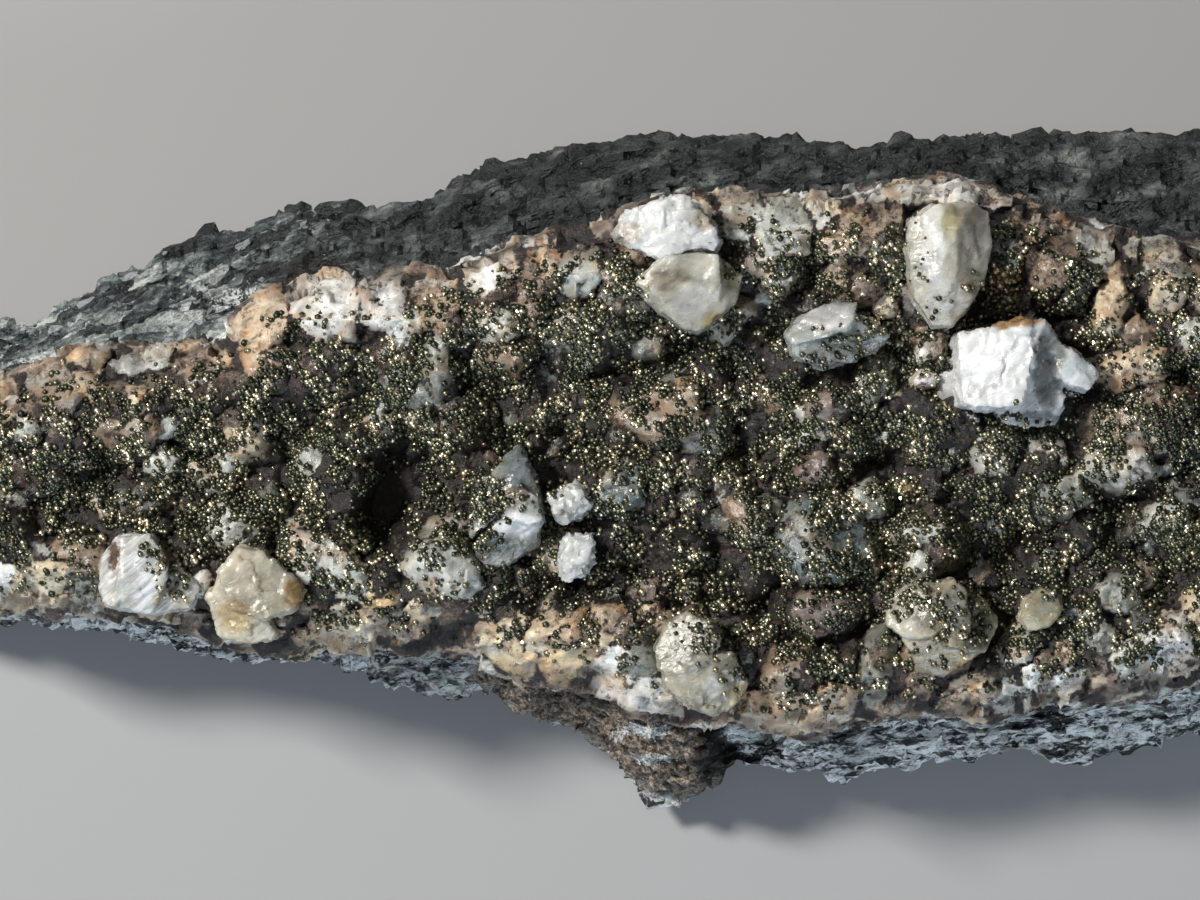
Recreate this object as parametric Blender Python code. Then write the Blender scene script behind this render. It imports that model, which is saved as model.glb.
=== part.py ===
"""Hand specimen of pyrite: a slab of gneiss with a calcite crust and a skin of tiny pyrite crystals.

The slab lies on its broken back with the crust up. X runs along the slab, Y towards its far edge.
Plan dimensions are in millimetres, measured on the crust's face, and become metres in the meshes.
"""
import math
import random

import bmesh
import bpy
from mathutils import Matrix, Vector, noise
from mathutils.geometry import intersect_line_line_2d

MM = 0.001
GAP = 0.3                # clearance between pieces that grow on one another
CENTRE = (1.55, -0.8)    # middle of the slab in plan, moved to the origin

# Heights above the face the specimen rests on.
SEAT = 14.0              # flat of the rock under the crust
WIDEST_Z = 5.4           # the slab's widest level
LOWER_Z = 2.4
LOWER_INSET = 0.5
BASE_INSET = 2.2         # the broken back is smaller than the widest level
EDGE_TOP = 15.9          # top of the crust at its border
TROUGH_TOP = 17.0
TROUGH_START = 4.0       # how far inside the border the trough's level is reached
PIT_FLOOR = 15.6
ROOT = 16.0              # where the single crystals start, inside the crust's height

# The middle line of the crust, from its left to its right end, and the cuts across it.
SPINE_LEFT = (-38.0, -2.6)
SPINE_RIGHT = (42.0, -0.8)
CUTS = 51
FAN_STEP = 15.0
LONGEST_RAY = 80.0

# Border of the crust: the back edge from left to right, then the front edge from right to left.
CRUST_BORDER = [
    (-45.0, -0.3), (-43.7, 2.7), (-39.6, 3.9), (-36.0, 4.0), (-33.3, 5.0), (-31.5, 5.9), (-27.6, 5.6),
    (-24.0, 5.9), (-22.2, 6.5), (-21.2, 8.8), (-18.0, 10.0), (-11.4, 10.0), (-9.0, 10.6), (-6.6, 11.8),
    (-0.6, 12.9), (2.4, 14.6), (5.4, 15.2), (9.6, 15.2), (15.0, 14.9), (18.0, 15.5), (21.9, 16.0),
    (24.3, 15.1), (27.0, 13.9), (31.2, 12.7), (36.0, 12.0), (40.2, 10.9), (44.4, 9.0), (46.5, 6.0),
    (47.1, 1.2), (46.8, -4.2), (45.0, -9.6), (41.4, -12.3), (36.0, -13.7), (33.4, -14.0), (30.4, -14.9),
    (26.4, -15.0), (23.7, -16.0), (19.7, -15.5), (16.3, -15.8), (13.0, -16.9), (10.2, -16.6), (8.5, -16.0),
    (5.2, -16.0), (2.9, -15.5), (0.0, -14.0), (-4.6, -13.5), (-7.6, -11.8), (-10.1, -11.6), (-19.5, -11.7),
    (-23.1, -11.3), (-25.8, -10.3), (-28.2, -9.9), (-32.4, -9.4), (-36.0, -9.5), (-39.6, -9.0),
    (-42.9, -6.9), (-44.9, -3.6),
]

# Widest outline of the rock, the same way round. The point near (6, -21.6) is the brown ledge's tip.
ROCK_OUTLINE = [
    (-48.5, 0.0), (-47.6, 3.4), (-45.1, 6.1), (-40.8, 7.4), (-37.1, 8.0), (-34.6, 7.7), (-32.1, 9.1),
    (-29.4, 10.8), (-26.0, 12.5), (-22.2, 13.5), (-18.5, 15.0), (-13.9, 14.9), (-10.5, 15.3), (-8.5, 16.8),
    (-5.6, 17.9), (0.0, 19.0), (5.6, 19.2), (12.4, 19.5), (16.4, 18.8), (22.2, 19.2), (27.5, 19.5),
    (32.1, 19.7), (37.1, 20.0), (42.0, 19.9), (46.4, 18.5), (49.4, 15.5), (51.0, 11.1), (51.6, 3.1),
    (51.3, -4.3), (49.7, -10.5), (47.0, -14.8), (42.0, -16.8), (37.1, -17.3), (32.2, -18.5), (28.1, -19.3),
    (25.5, -18.5), (22.4, -19.2), (17.9, -19.5), (14.2, -20.4), (12.4, -19.4), (10.9, -19.4), (8.2, -19.3),
    (7.0, -20.5), (5.9, -21.6), (3.4, -21.1), (1.1, -19.3), (-1.0, -17.3), (-3.5, -16.3), (-5.7, -15.0),
    (-8.8, -15.3), (-12.7, -14.8), (-16.6, -13.3), (-21.4, -13.0), (-24.8, -11.9), (-28.6, -11.6),
    (-32.5, -10.8), (-36.2, -9.9), (-40.8, -10.6), (-45.1, -8.7), (-47.7, -4.3),
]
RIM_OF_SEAT = 0.35       # rock that shows round the crust's border

# How the rock falls from the seat (0) to the widest outline (1), as (share of the way, height).
BACK_LEFT_FALL = [(0.0, 14.0), (0.25, 12.2), (0.5, 10.0), (0.75, 8.0), (1.0, 5.6)]
BACK_RIGHT_FALL = [(0.0, 14.0), (0.14, 9.9), (0.5, 8.9), (0.85, 7.6), (1.0, 5.6)]
FRONT_FALL = [(0.0, 14.0), (0.25, 12.5), (0.5, 10.5), (0.75, 8.0), (1.0, 5.6)]
BROWN_LEDGE_FALL = [(0.0, 13.6), (0.3, 12.3), (0.6, 10.6), (0.85, 8.9), (1.0, 5.6)]
NOTCH_FALL = [(0.0, 14.0), (0.12, 7.5), (0.5, 6.2), (0.8, 6.0), (1.0, 5.4)]
LEDGES = [(0.2, 0.38), (0.46, 0.62), (0.74, 0.9)]   # (edge of the step, level of the tread below it)
STEP_RUN = 0.05
STEP_LIP = 0.3           # how far a step's edge stands under the tread above
TREAD_LIFT = 0.1
BACK_STEEP = (-14.0, -6.0)      # along X, where the gentle back turns into the steep one
BROWN_LEDGE = (-7.5, -4.5, 6.2, 7.4)
NOTCH = (6.4, 7.6, 10.2, 11.4)

# Unevenness of the rock as (height or share, width of a bump, seed).
LEDGE_WANDER = (0.14, 7.0, 11.0)
LEDGE_NICKS = (0.07, 3.0, 12.0)
LEDGE_UNEVEN = (0.6, 3.5, 21.0)
WIDEST_UNEVEN = (0.6, 6.0, 31.0)
LOWER_WAVES = (0.3, 3.0, 41.0)
LOWER_UNEVEN = (0.5, 4.0, 51.0)
BASE_WAVES = (0.4, 4.0, 61.0)

# The crust's raised rim, and its roughness like the rock's.
RIM_HEIGHT = 2.1
RIM_INSIDE = 2.6
RIM_WIDTH = 2.1
RIM_START = 1.6
CRUST_ROUGH = [(0.5, 4.5, 1.0), (0.55, 2.6, 3.0), (0.3, 1.2, 8.0)]

# Lumps of the crust as (x, y, half length, half width, height), read off the specimen's face.
SWELLS = [
    (-32.1, 4.2, 1.6, 1.0, 1.0), (-25.2, 4.6, 3.2, 1.0, 0.8), (-9.6, 8.2, 1.2, 1.4, 1.0),
    (-6.4, 10.0, 1.4, 1.2, 0.9), (-3.0, 10.6, 1.6, 1.3, 1.1), (12.0, 13.6, 3.2, 0.9, 0.8),
    (9.7, 11.0, 1.7, 1.0, 0.9), (15.2, 12.4, 1.6, 1.4, 1.1), (15.6, 9.4, 1.5, 1.2, 0.9),
    (26.3, 11.0, 2.0, 1.6, 1.3), (32.7, 1.8, 3.3, 2.2, 1.9), (23.4, -0.6, 1.4, 1.1, 0.9),
    (27.6, -2.7, 1.6, 1.4, 1.1), (19.3, -5.4, 1.5, 1.0, 1.3), (19.3, -7.0, 1.0, 1.2, 1.0),
    (3.0, -8.7, 1.3, 1.0, 0.9), (13.2, -5.2, 3.2, 2.4, 1.9), (-9.2, -7.2, 2.4, 1.8, 1.7),
    (-16.6, -6.4, 3.0, 1.9, 1.6), (-21.3, 0.6, 1.4, 1.2, 1.2), (5.4, 3.0, 1.0, 1.4, 1.0),
    (3.9, 1.9, 2.8, 1.9, 1.4), (13.5, 2.2, 1.5, 1.3, 1.0), (13.2, -1.2, 1.5, 1.2, 0.9),
    (-9.9, 5.2, 1.3, 1.9, 1.1), (-5.7, 6.2, 1.6, 1.4, 1.2), (-0.8, 7.4, 2.6, 1.5, 1.1),
    (-13.2, 1.5, 1.2, 1.1, 0.8), (1.2, -2.4, 1.4, 1.5, 1.1), (-28.0, 1.4, 2.4, 1.8, 1.2),
    (-34.0, -1.0, 2.6, 2.0, 1.3), (-27.0, -2.8, 2.2, 1.7, 1.0), (-21.4, -3.2, 2.0, 1.6, 1.1),
    (-39.4, 0.4, 2.2, 1.8, 1.2), (38.6, 4.6, 2.6, 2.2, 1.4), (41.6, -4.0, 2.4, 2.0, 1.3),
    (36.4, -6.2, 2.2, 1.8, 1.2), (31.0, -8.6, 1.8, 1.6, 1.1), (-17.4, 4.4, 2.0, 1.4, 1.0),
    (8.0, -3.4, 1.8, 1.5, 0.9), (20.0, 1.0, 1.6, 1.4, 0.9),
]

# Hollows of the crust as (x, y, half length, half width, depth).
HOLLOWS = [
    (-12.7, -2.9, 2.2, 3.6, 3.0), (1.0, 4.9, 1.5, 1.3, 1.3), (6.4, 5.4, 1.9, 1.2, 1.6),
    (10.4, -8.7, 1.5, 1.8, 2.0), (15.2, -10.6, 1.1, 1.4, 1.4), (25.3, -5.6, 1.4, 1.6, 2.0),
    (23.6, -8.2, 1.1, 1.3, 1.3), (28.2, 7.4, 1.3, 1.8, 2.0), (31.4, -3.6, 1.6, 1.0, 1.5),
    (17.0, -0.8, 1.6, 1.5, 1.5), (-2.2, -9.0, 1.4, 1.1, 1.3), (9.0, 0.6, 1.6, 1.8, 1.2),
    (-24.0, -5.2, 1.6, 1.2, 1.0), (-31.0, -4.8, 1.8, 1.2, 1.1), (-1.6, 0.4, 1.6, 1.4, 1.2),
    (39.4, -0.4, 1.8, 1.4, 1.4),
]

# Faceted lumps fused to the crust: (x, y, radius, stretch, turn in degrees, height of the top).
LUMPS = [
    (-35.4, -6.9, 2.2, 1.1, 20, 19.2), (-33.0, -7.6, 1.6, 1.35, 5, 19.7), (-41.0, -5.0, 2.3, 1.2, 60, 19.1),
    (-42.0, 0.6, 2.0, 1.3, 80, 18.8), (-20.4, 7.4, 1.6, 1.1, 30, 20.4), (-16.1, 8.2, 2.0, 1.15, 0, 20.8),
    (-12.8, 8.3, 1.8, 1.3, 160, 20.2), (-1.2, 10.8, 2.1, 1.1, 25, 19.8), (9.9, 13.2, 1.5, 1.3, 10, 20.1),
    (29.5, 11.0, 1.9, 1.0, 15, 19.9), (31.2, 8.3, 2.0, 1.3, 70, 20.3), (32.6, 5.0, 1.7, 1.25, 15, 20.4),
    (34.2, 9.2, 2.0, 1.2, 40, 20.0), (36.4, 6.6, 2.2, 1.1, 0, 19.8), (30.9, -1.2, 2.2, 1.5, 20, 19.8),
    (16.6, -13.3, 1.3, 1.6, 85, 19.8), (12.0, -14.9, 1.6, 1.7, 5, 20.1), (0.9, -13.0, 1.4, 1.3, 150, 19.8),
    (-2.2, -11.5, 2.3, 1.3, 170, 20.3), (-6.3, -10.4, 1.8, 1.3, 20, 19.8), (13.2, -9.9, 1.9, 1.5, 10, 20.1),
    (-12.0, -9.4, 1.9, 1.4, 15, 19.6), (-14.9, -10.2, 1.4, 1.4, 175, 19.4),
    (37.4, -10.4, 2.5, 1.3, 160, 19.9), (32.4, -12.2, 2.0, 1.4, 10, 19.5), (43.2, 3.2, 2.5, 1.2, 100, 19.7),
    (40.4, 8.0, 2.2, 1.3, 150, 19.6), (27.6, -13.0, 1.9, 1.4, 0, 19.3),
]
LUMP_SIDES = 7
LUMP_ROOT = SEAT + 1.0
LUMP_FACETS = 3
LUMP_SLOPES = (18.0, 48.0)
LUMP_ROUNDNESS = (0.8, 1.1)   # shares of its radius that a lump's corners may have
LUMP_SKEW = 0.2
FACET_SKEW = 25.0
FACET_REACH = (-0.05, 0.35)
LUMP_SEED = 7

# Trough of the crust that the pyrite skin covers.
PYRITE_BORDER = [
    (-42.0, -1.0), (-38.0, 2.4), (-30.0, 3.6), (-22.5, 4.6), (-16.0, 5.8), (-8.0, 8.6), (-2.0, 9.0),
    (3.0, 6.2), (8.0, 7.4), (12.0, 11.2), (17.0, 8.0), (20.0, 5.4), (28.0, 3.0), (36.0, 4.4), (42.0, 5.0),
    (44.0, 0.0), (42.0, -6.5), (36.0, -9.0), (30.0, -10.0), (24.0, -7.0), (18.0, -9.0), (10.0, -11.0),
    (4.0, -9.0), (-4.0, -8.6), (-10.0, -8.4), (-18.0, -7.0), (-24.0, -4.6), (-32.0, -6.0), (-38.0, -6.0),
]
PYRITE_THICK = 0.5
PYRITE_UNEVEN = (0.2, 1.0, 71.0)
PYRITE_MARGIN = 0.75     # bare border of the skin round lumps and single crystals

# Shares of the way from the crust's border to its middle line where the lengthways rows run.
ROWS = [0.03, 0.12, 0.22, 0.33, 0.45, 0.58, 0.72, 0.86]

# Single calcite crystals: outline about the centre, anticlockwise or clockwise as read; top height;
# facets as (direction in degrees, slope in degrees, distance of the facet's upper edge from the centre).
CRYSTALS = {
    "cleavage_block": {
        "centre": (24.6, 4.8), "top": 23.5, "colour": (0.86, 0.86, 0.84),
        "outline": [(-4.2, 1.1), (-3.4, 2.1), (-0.9, 2.8), (1.6, 3.2), (2.8, 1.5), (5.0, -0.2), (4.4, -1.4),
                    (2.1, -3.1), (-0.9, -2.6), (-4.5, -1.7)],
        "facets": [(160, 12, 0.0), (-10, 45, 1.5), (-60, 40, 1.6)],
    },
    "tall_crystal": {
        "centre": (20.6, 11.2), "top": 23.0, "colour": (0.78, 0.74, 0.63),
        "outline": [(-2.6, 1.0), (-2.2, 2.6), (-0.8, 3.5), (1.3, 3.7), (2.5, 3.0), (2.8, 1.3), (2.4, -0.8),
                    (1.4, -2.8), (0.1, -4.2), (-0.8, -4.0), (-2.0, -2.3)],
        "facets": [(180, 35, 0.9), (0, 35, 0.9), (-90, 30, 0.6), (90, 25, 1.4)],
    },
    "broken_crystal": {
        "centre": (4.05, 13.1), "top": 22.3, "colour": (0.85, 0.85, 0.83),
        "outline": [(-3.2, -0.2), (-2.8, 0.8), (-1.7, 1.3), (0.0, 1.9), (1.4, 1.9), (2.2, 1.1), (3.2, -0.7),
                    (2.8, -1.4), (1.3, -1.4), (-0.8, -1.7), (-2.2, -1.0)],
        "facets": [(90, 20, 0.2), (-90, 25, 0.4), (170, 30, 1.6)],
    },
    "wedge_crystal": {
        "centre": (5.25, 9.3), "top": 22.0, "colour": (0.80, 0.76, 0.66),
        "outline": [(-3.4, 0.3), (-1.6, 1.8), (0.7, 2.1), (2.4, 2.0), (3.2, 0.9), (2.9, -0.5), (1.9, -1.8),
                    (0.7, -2.3), (-1.0, -1.7), (-2.3, -0.8)],
        "facets": [(-60, 15, -0.6), (-135, 50, 1.3), (0, 40, 1.9)],
    },
    "pale_crystal": {
        "centre": (14.1, 7.0), "top": 21.2, "colour": (0.70, 0.71, 0.69),
        "outline": [(-3.2, -0.2), (-2.3, 0.8), (0.0, 2.0), (1.4, 1.9), (2.5, 0.7), (3.3, -0.2), (2.5, -1.1),
                    (0.7, -1.8), (-1.1, -2.2), (-2.9, -1.2)],
        "facets": [(110, 30, 0.2), (-80, 25, 0.0)],
    },
    "cream_lump": {
        "centre": (-20.5, -8.7), "top": 22.0, "colour": (0.80, 0.72, 0.52),
        "outline": [(-3.0, 0.0), (-2.0, 2.0), (-1.0, 3.0), (0.2, 2.9), (2.1, 1.4), (3.1, 0.4), (2.7, -0.8),
                    (1.4, -2.5), (-0.3, -2.9), (-2.2, -2.6), (-2.7, -1.2)],
        "facets": [(45, 20, 0.3), (-150, 35, 1.1), (-60, 35, 1.6)],
    },
    "striped_crystal": {
        "centre": (-27.0, -7.6), "top": 21.6, "colour": (0.78, 0.76, 0.70),
        "outline": [(-2.8, 1.1), (-1.8, 2.6), (0.3, 2.7), (1.8, 1.1), (3.2, -0.7), (2.6, -1.9), (0.3, -2.3),
                    (-2.4, -1.8), (-3.0, -0.7)],
        "facets": [(-90, 30, 0.5), (30, 30, 1.0)],
    },
    "grey_crystal": {
        "centre": (-5.5, -3.85), "top": 21.2, "colour": (0.55, 0.56, 0.53),
        "outline": [(-2.1, 0.9), (-1.7, 2.7), (0.7, 4.2), (1.4, 2.7), (2.2, 0.3), (1.9, -1.8), (0.4, -2.7),
                    (-1.2, -3.6), (-2.3, -1.5)],
        "facets": [(-60, 35, 0.2), (150, 20, 0.4)],
    },
    "small_white_a": {
        "centre": (-1.7, -3.15), "top": 20.2, "colour": (0.84, 0.84, 0.82),
        "outline": [(-1.1, 0.4), (-0.4, 1.1), (0.7, 1.0), (1.2, -0.1), (0.7, -1.1), (-0.5, -1.1),
                    (-1.1, -0.4)],
        "facets": [(120, 25, 0.1), (-45, 40, 0.3)],
    },
    "small_white_b": {
        "centre": (-1.4, -6.3), "top": 20.4, "colour": (0.82, 0.82, 0.79),
        "outline": [(-0.9, 0.7), (-0.1, 1.3), (1.0, 1.3), (1.0, 0.1), (0.5, -0.9), (-0.4, -1.4),
                    (-1.1, -0.9)],
        "facets": [(160, 30, 0.1), (-60, 35, 0.4)],
    },
    "rhomb_crystal": {
        "centre": (26.3, -9.6), "top": 20.8, "colour": (0.80, 0.74, 0.58),
        "outline": [(-1.3, -0.5), (-1.0, 0.7), (0.1, 1.4), (1.1, 1.0), (1.3, 0.2), (0.4, -1.0), (-0.8, -1.3)],
        "facets": [(60, 20, 0.2), (-110, 35, 0.4)],
    },
    "cream_cluster": {
        "centre": (20.4, -10.6), "top": 22.2, "colour": (0.74, 0.66, 0.50),
        "outline": [(-3.5, 1.7), (-2.3, 2.6), (0.4, 3.0), (2.5, 1.7), (3.4, 0.2), (2.5, -1.6), (0.1, -3.0),
                    (-1.7, -2.5), (-2.3, -0.7), (-3.3, 0.2)],
        "facets": [(120, 25, 0.4), (-90, 30, 0.2), (10, 40, 1.6)],
    },
    "translucent_lump": {
        "centre": (6.0, -12.7), "top": 21.6, "colour": (0.68, 0.66, 0.58),
        "outline": [(-2.8, 0.9), (-2.2, 2.4), (-0.7, 3.2), (0.8, 2.4), (2.0, 0.9), (3.0, -1.2), (2.3, -2.4),
                    (0.8, -3.2), (-0.7, -2.7), (-2.2, -1.5)],
        "facets": [(150, 25, 0.3), (-50, 30, 0.6)],
    },
}
CRYSTAL_TAPER = 0.86


def along(points, share):
    """Height at a share of the way, on straight runs between (share, height) points."""
    for (s0, z0), (s1, z1) in zip(points, points[1:]):
        if share <= s1:
            return z0 + (z1 - z0) * (share - s0) / (s1 - s0)
    return points[-1][1]


def ease(start, end, value):
    """0 before start, 1 after end, smooth between."""
    t = min(1.0, max(0.0, (value - start) / (end - start)))
    return t * t * (3 - 2 * t)


def ripple(x, y, uneven, layer=0):
    """Smooth noise with bumps of the stated height and width."""
    height, size, seed = uneven
    return height * noise.noise(Vector((x / size, y / size, seed + layer)))


def window(x, limits):
    """1 between the two middle limits, 0 beyond the outer ones."""
    return ease(limits[0], limits[1], x) * (1 - ease(limits[2], limits[3], x))


def reach(origin, direction, outline):
    """Distance from origin to where a ray leaves the outline."""
    start = Vector(origin)
    end = start + Vector(direction) * LONGEST_RAY
    hits = []
    for a, b in zip(outline, outline[1:] + outline[:1]):
        hit = intersect_line_line_2d(start, end, Vector(a), Vector(b))
        if hit:
            hits.append((hit - start).length)
    return max(hits)


def stations():
    """Rays from the middle line: along the back, round the right end, along the front, round the left."""
    fan = [FAN_STEP * n for n in range(1, int(180 / FAN_STEP))]
    spine = []
    for n in range(CUTS):
        share = n / (CUTS - 1)
        spine.append(tuple(a + (b - a) * share for a, b in zip(SPINE_LEFT, SPINE_RIGHT)))
    rays = [(n, spine[n], 90.0) for n in range(CUTS)]
    rays += [(CUTS - 1, spine[-1], 90.0 - turn) for turn in fan]
    rays += [(n, spine[n], -90.0) for n in reversed(range(CUTS))]
    rays += [(0, spine[0], -90.0 - turn) for turn in fan]
    found = []
    for number, origin, angle in rays:
        direction = (math.cos(math.radians(angle)), math.sin(math.radians(angle)))
        found.append({
            "spine": number,
            "origin": origin,
            "direction": direction,
            "crust": reach(origin, direction, CRUST_BORDER),
            "rock": reach(origin, direction, ROCK_OUTLINE),
        })
    return found


def at(station, distance):
    """Plan point on a station's ray."""
    return tuple(o + d * distance for o, d in zip(station["origin"], station["direction"]))


def rock_fall(station, share):
    """Height of the rock between the seat and the widest outline."""
    x, y = at(station, station["crust"])
    to_right = ease(*BACK_STEEP, x)
    back = along(BACK_LEFT_FALL, share) * (1 - to_right) + along(BACK_RIGHT_FALL, share) * to_right
    front = along(FRONT_FALL, share)
    front += (along(BROWN_LEDGE_FALL, share) - front) * window(x, BROWN_LEDGE)
    front += (along(NOTCH_FALL, share) - front) * window(x, NOTCH)
    behind = ease(-0.6, 0.6, station["direction"][1])
    return front + (back - front) * behind


def crust_height(x, y, inside):
    """Top of the crust at a plan point that lies this far inside its border."""
    rim = RIM_HEIGHT * math.exp(-((inside - RIM_INSIDE) / RIM_WIDTH) ** 2)
    z = EDGE_TOP + (TROUGH_TOP - EDGE_TOP) * ease(0.0, TROUGH_START, inside)
    z += rim * ease(0.0, RIM_START, inside)
    for px, py, length, width, height in SWELLS:
        z += height * math.exp(-(((x - px) / length) ** 2 + ((y - py) / width) ** 2))
    for px, py, length, width, depth in HOLLOWS:
        z -= depth * math.exp(-(((x - px) / length) ** 2 + ((y - py) / width) ** 2))
    z += sum(ripple(x, y, rough) for rough in CRUST_ROUGH)
    return max(z, PIT_FLOOR)


def material(name, colour, roughness, metallic=0.0):
    made = bpy.data.materials.new(name)
    made.use_nodes = True
    shader = made.node_tree.nodes["Principled BSDF"]
    shader.inputs["Base Color"].default_value = (*colour, 1.0)
    shader.inputs["Roughness"].default_value = roughness
    shader.inputs["Metallic"].default_value = metallic
    made.diffuse_color = (*colour, 1.0)
    return made


def new_object(name, mesh, collection, made=None, parent=None):
    obj = bpy.data.objects.new(name, mesh)
    collection.objects.link(obj)
    if made:
        mesh.materials.clear()
        mesh.materials.append(made)
    obj.parent = parent
    return obj


def mesh_from(bm, name):
    """Closes off a bmesh as a mesh in metres, with its faces pointing out."""
    bmesh.ops.recalc_face_normals(bm, faces=bm.faces[:])
    bmesh.ops.scale(bm, vec=(MM, MM, MM), verts=bm.verts[:])
    mesh = bpy.data.meshes.new(name)
    bm.to_mesh(mesh)
    bm.free()
    return mesh


def ring(bm, points):
    return [bm.verts.new(point) for point in points]


def bridge(bm, upper, lower):
    """Quads between two closed rings with the same number of points."""
    count = len(upper)
    return [
        bm.faces.new((upper[i], upper[(i + 1) % count], lower[(i + 1) % count], lower[i]))
        for i in range(count)
    ]


def gneiss_mesh(rays):
    """Loft from the flat seat down over uneven ledges to the widest level and the broken flat back."""
    rings = [[(*at(s, s["crust"] + RIM_OF_SEAT), SEAT) for s in rays]]
    for number, (edge, tread) in enumerate(LEDGES):
        before = LEDGES[number - 1][1] if number else 0.0
        top_edge, foot = [], []
        for s in rays:
            inner = s["crust"] + RIM_OF_SEAT
            way = s["rock"] - inner
            x, y = at(s, s["rock"])
            moved = edge + ripple(x, y, LEDGE_WANDER) + ripple(x, y, LEDGE_NICKS, number)
            uneven = ripple(x, y, LEDGE_UNEVEN, number)
            high = min(rock_fall(s, before) - STEP_LIP + uneven, SEAT - TREAD_LIFT)
            low = min(rock_fall(s, tread) + TREAD_LIFT + uneven, high - TREAD_LIFT)
            top_edge.append((*at(s, inner + way * moved), high))
            foot.append((*at(s, inner + way * (moved + STEP_RUN)), low))
        rings += [top_edge, foot]
    widest, lower, base = [], [], []
    for s in rays:
        x, y = at(s, s["rock"])
        widest.append((x, y, WIDEST_Z + ripple(x, y, WIDEST_UNEVEN)))
        inset = LOWER_INSET + ripple(x, y, LOWER_WAVES)
        lower.append((*at(s, s["rock"] - inset), LOWER_Z + ripple(x, y, LOWER_UNEVEN)))
        base.append((*at(s, s["rock"] - BASE_INSET - ripple(x, y, BASE_WAVES)), 0.0))
    rings += [widest, lower, base]
    bm = bmesh.new()
    made = [ring(bm, points) for points in rings]
    for upper, under in zip(made, made[1:]):
        bridge(bm, upper, under)
    bm.faces.new(made[0])
    bm.faces.new(made[-1])
    bmesh.ops.triangulate(bm, faces=bm.faces[:])
    return mesh_from(bm, "gneiss")


def crust_grid(bm, rays):
    """The crust's top as a grid of quads, from its border to its middle line, and its lower border."""
    bottom = ring(bm, [(*at(s, s["crust"]), SEAT + GAP) for s in rays])
    rows = []
    for share in ROWS:
        points = []
        for s in rays:
            inside = s["crust"] * share
            x, y = at(s, s["crust"] - inside)
            points.append((x, y, crust_height(x, y, inside)))
        rows.append(ring(bm, points))
    middle = {}
    for s in rays:
        if s["spine"] not in middle:
            x, y = s["origin"]
            middle[s["spine"]] = bm.verts.new((x, y, crust_height(x, y, s["crust"])))
    top = []
    for outer, inner in zip(rows, rows[1:]):
        top += bridge(bm, outer, inner)
    last = rows[-1]
    for i, s in enumerate(rays):
        after = rays[(i + 1) % len(rays)]
        corner, next_corner = last[i], last[(i + 1) % len(rays)]
        a, b = middle[s["spine"]], middle[after["spine"]]
        around = [corner, next_corner, b] if a is b else [corner, next_corner, b, a]
        top.append(bm.faces.new(around))
    return bottom, rows[0], top


def crust_base_mesh(rays):
    bm = bmesh.new()
    bottom, border, _ = crust_grid(bm, rays)
    bridge(bm, bottom, border)
    bm.faces.new(bottom)
    bmesh.ops.triangulate(bm, faces=bm.faces[:], quad_method="FIXED")
    return mesh_from(bm, "crust base")


def lump_crystal(lump, rand):
    """A lump as a crystal: an uneven seven-sided outline whose top has three sloping facets."""
    x, y, radius, stretch, turn, top = lump
    cos_turn, sin_turn = math.cos(math.radians(turn)), math.sin(math.radians(turn))
    outline = []
    for corner in range(LUMP_SIDES):
        angle = 2 * math.pi * (corner + rand.uniform(-LUMP_SKEW, LUMP_SKEW)) / LUMP_SIDES
        across = radius * rand.uniform(*LUMP_ROUNDNESS)
        u, v = across * stretch * math.cos(angle), across * math.sin(angle)
        outline.append((u * cos_turn - v * sin_turn, u * sin_turn + v * cos_turn))
    first = rand.uniform(0, 360)
    facets = []
    for number in range(LUMP_FACETS):
        direction = first + number * 360 / LUMP_FACETS + rand.uniform(-FACET_SKEW, FACET_SKEW)
        facets.append((direction, rand.uniform(*LUMP_SLOPES), radius * rand.uniform(*FACET_REACH)))
    return {"centre": (x, y), "top": top, "outline": outline, "facets": facets}


def applied(obj):
    """The object's mesh with its modifiers applied."""
    graph = bpy.context.evaluated_depsgraph_get()
    return bpy.data.meshes.new_from_object(obj.evaluated_get(graph))


def crust_mesh(rays, cutters):
    """The crust's base with the faceted lumps joined to it."""
    rand = random.Random(LUMP_SEED)
    lumps = bpy.data.collections.new("crust lumps")
    cutters.children.link(lumps)
    for number, lump in enumerate(LUMPS):
        piece = new_object(f"lump_{number + 1}", crystal_mesh(lump_crystal(lump, rand), LUMP_ROOT), lumps)
        hide(piece)
    base = new_object("crust_base", crust_base_mesh(rays), cutters)
    hide(base)
    union = base.modifiers.new("join lumps", "BOOLEAN")
    union.operation = "UNION"
    union.solver = "EXACT"
    union.operand_type = "COLLECTION"
    union.collection = lumps
    mesh = applied(base)
    base.modifiers.clear()
    return mesh


def hide(obj):
    obj.hide_render = True
    obj.display_type = "WIRE"


def inside_outline(x, y, outline):
    """Whether a plan point lies within an outline."""
    odd = False
    for (x0, y0), (x1, y1) in zip(outline, outline[1:] + outline[:1]):
        if (y0 > y) != (y1 > y) and x < x0 + (x1 - x0) * (y - y0) / (y1 - y0):
            odd = not odd
    return odd


def distance_to(x, y, outline):
    """Distance from a plan point to an outline's edges, or 0 inside it."""
    if inside_outline(x, y, outline):
        return 0.0
    point = Vector((x, y))
    nearest = []
    for a, b in zip(outline, outline[1:] + outline[:1]):
        start, run = Vector(a), Vector(b) - Vector(a)
        share = min(1.0, max(0.0, (point - start).dot(run) / run.length_squared))
        nearest.append((start + run * share - point).length)
    return min(nearest)


def crystal_outline(crystal):
    cx, cy = crystal["centre"]
    return [(cx + x, cy + y) for x, y in crystal["outline"]]


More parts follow.
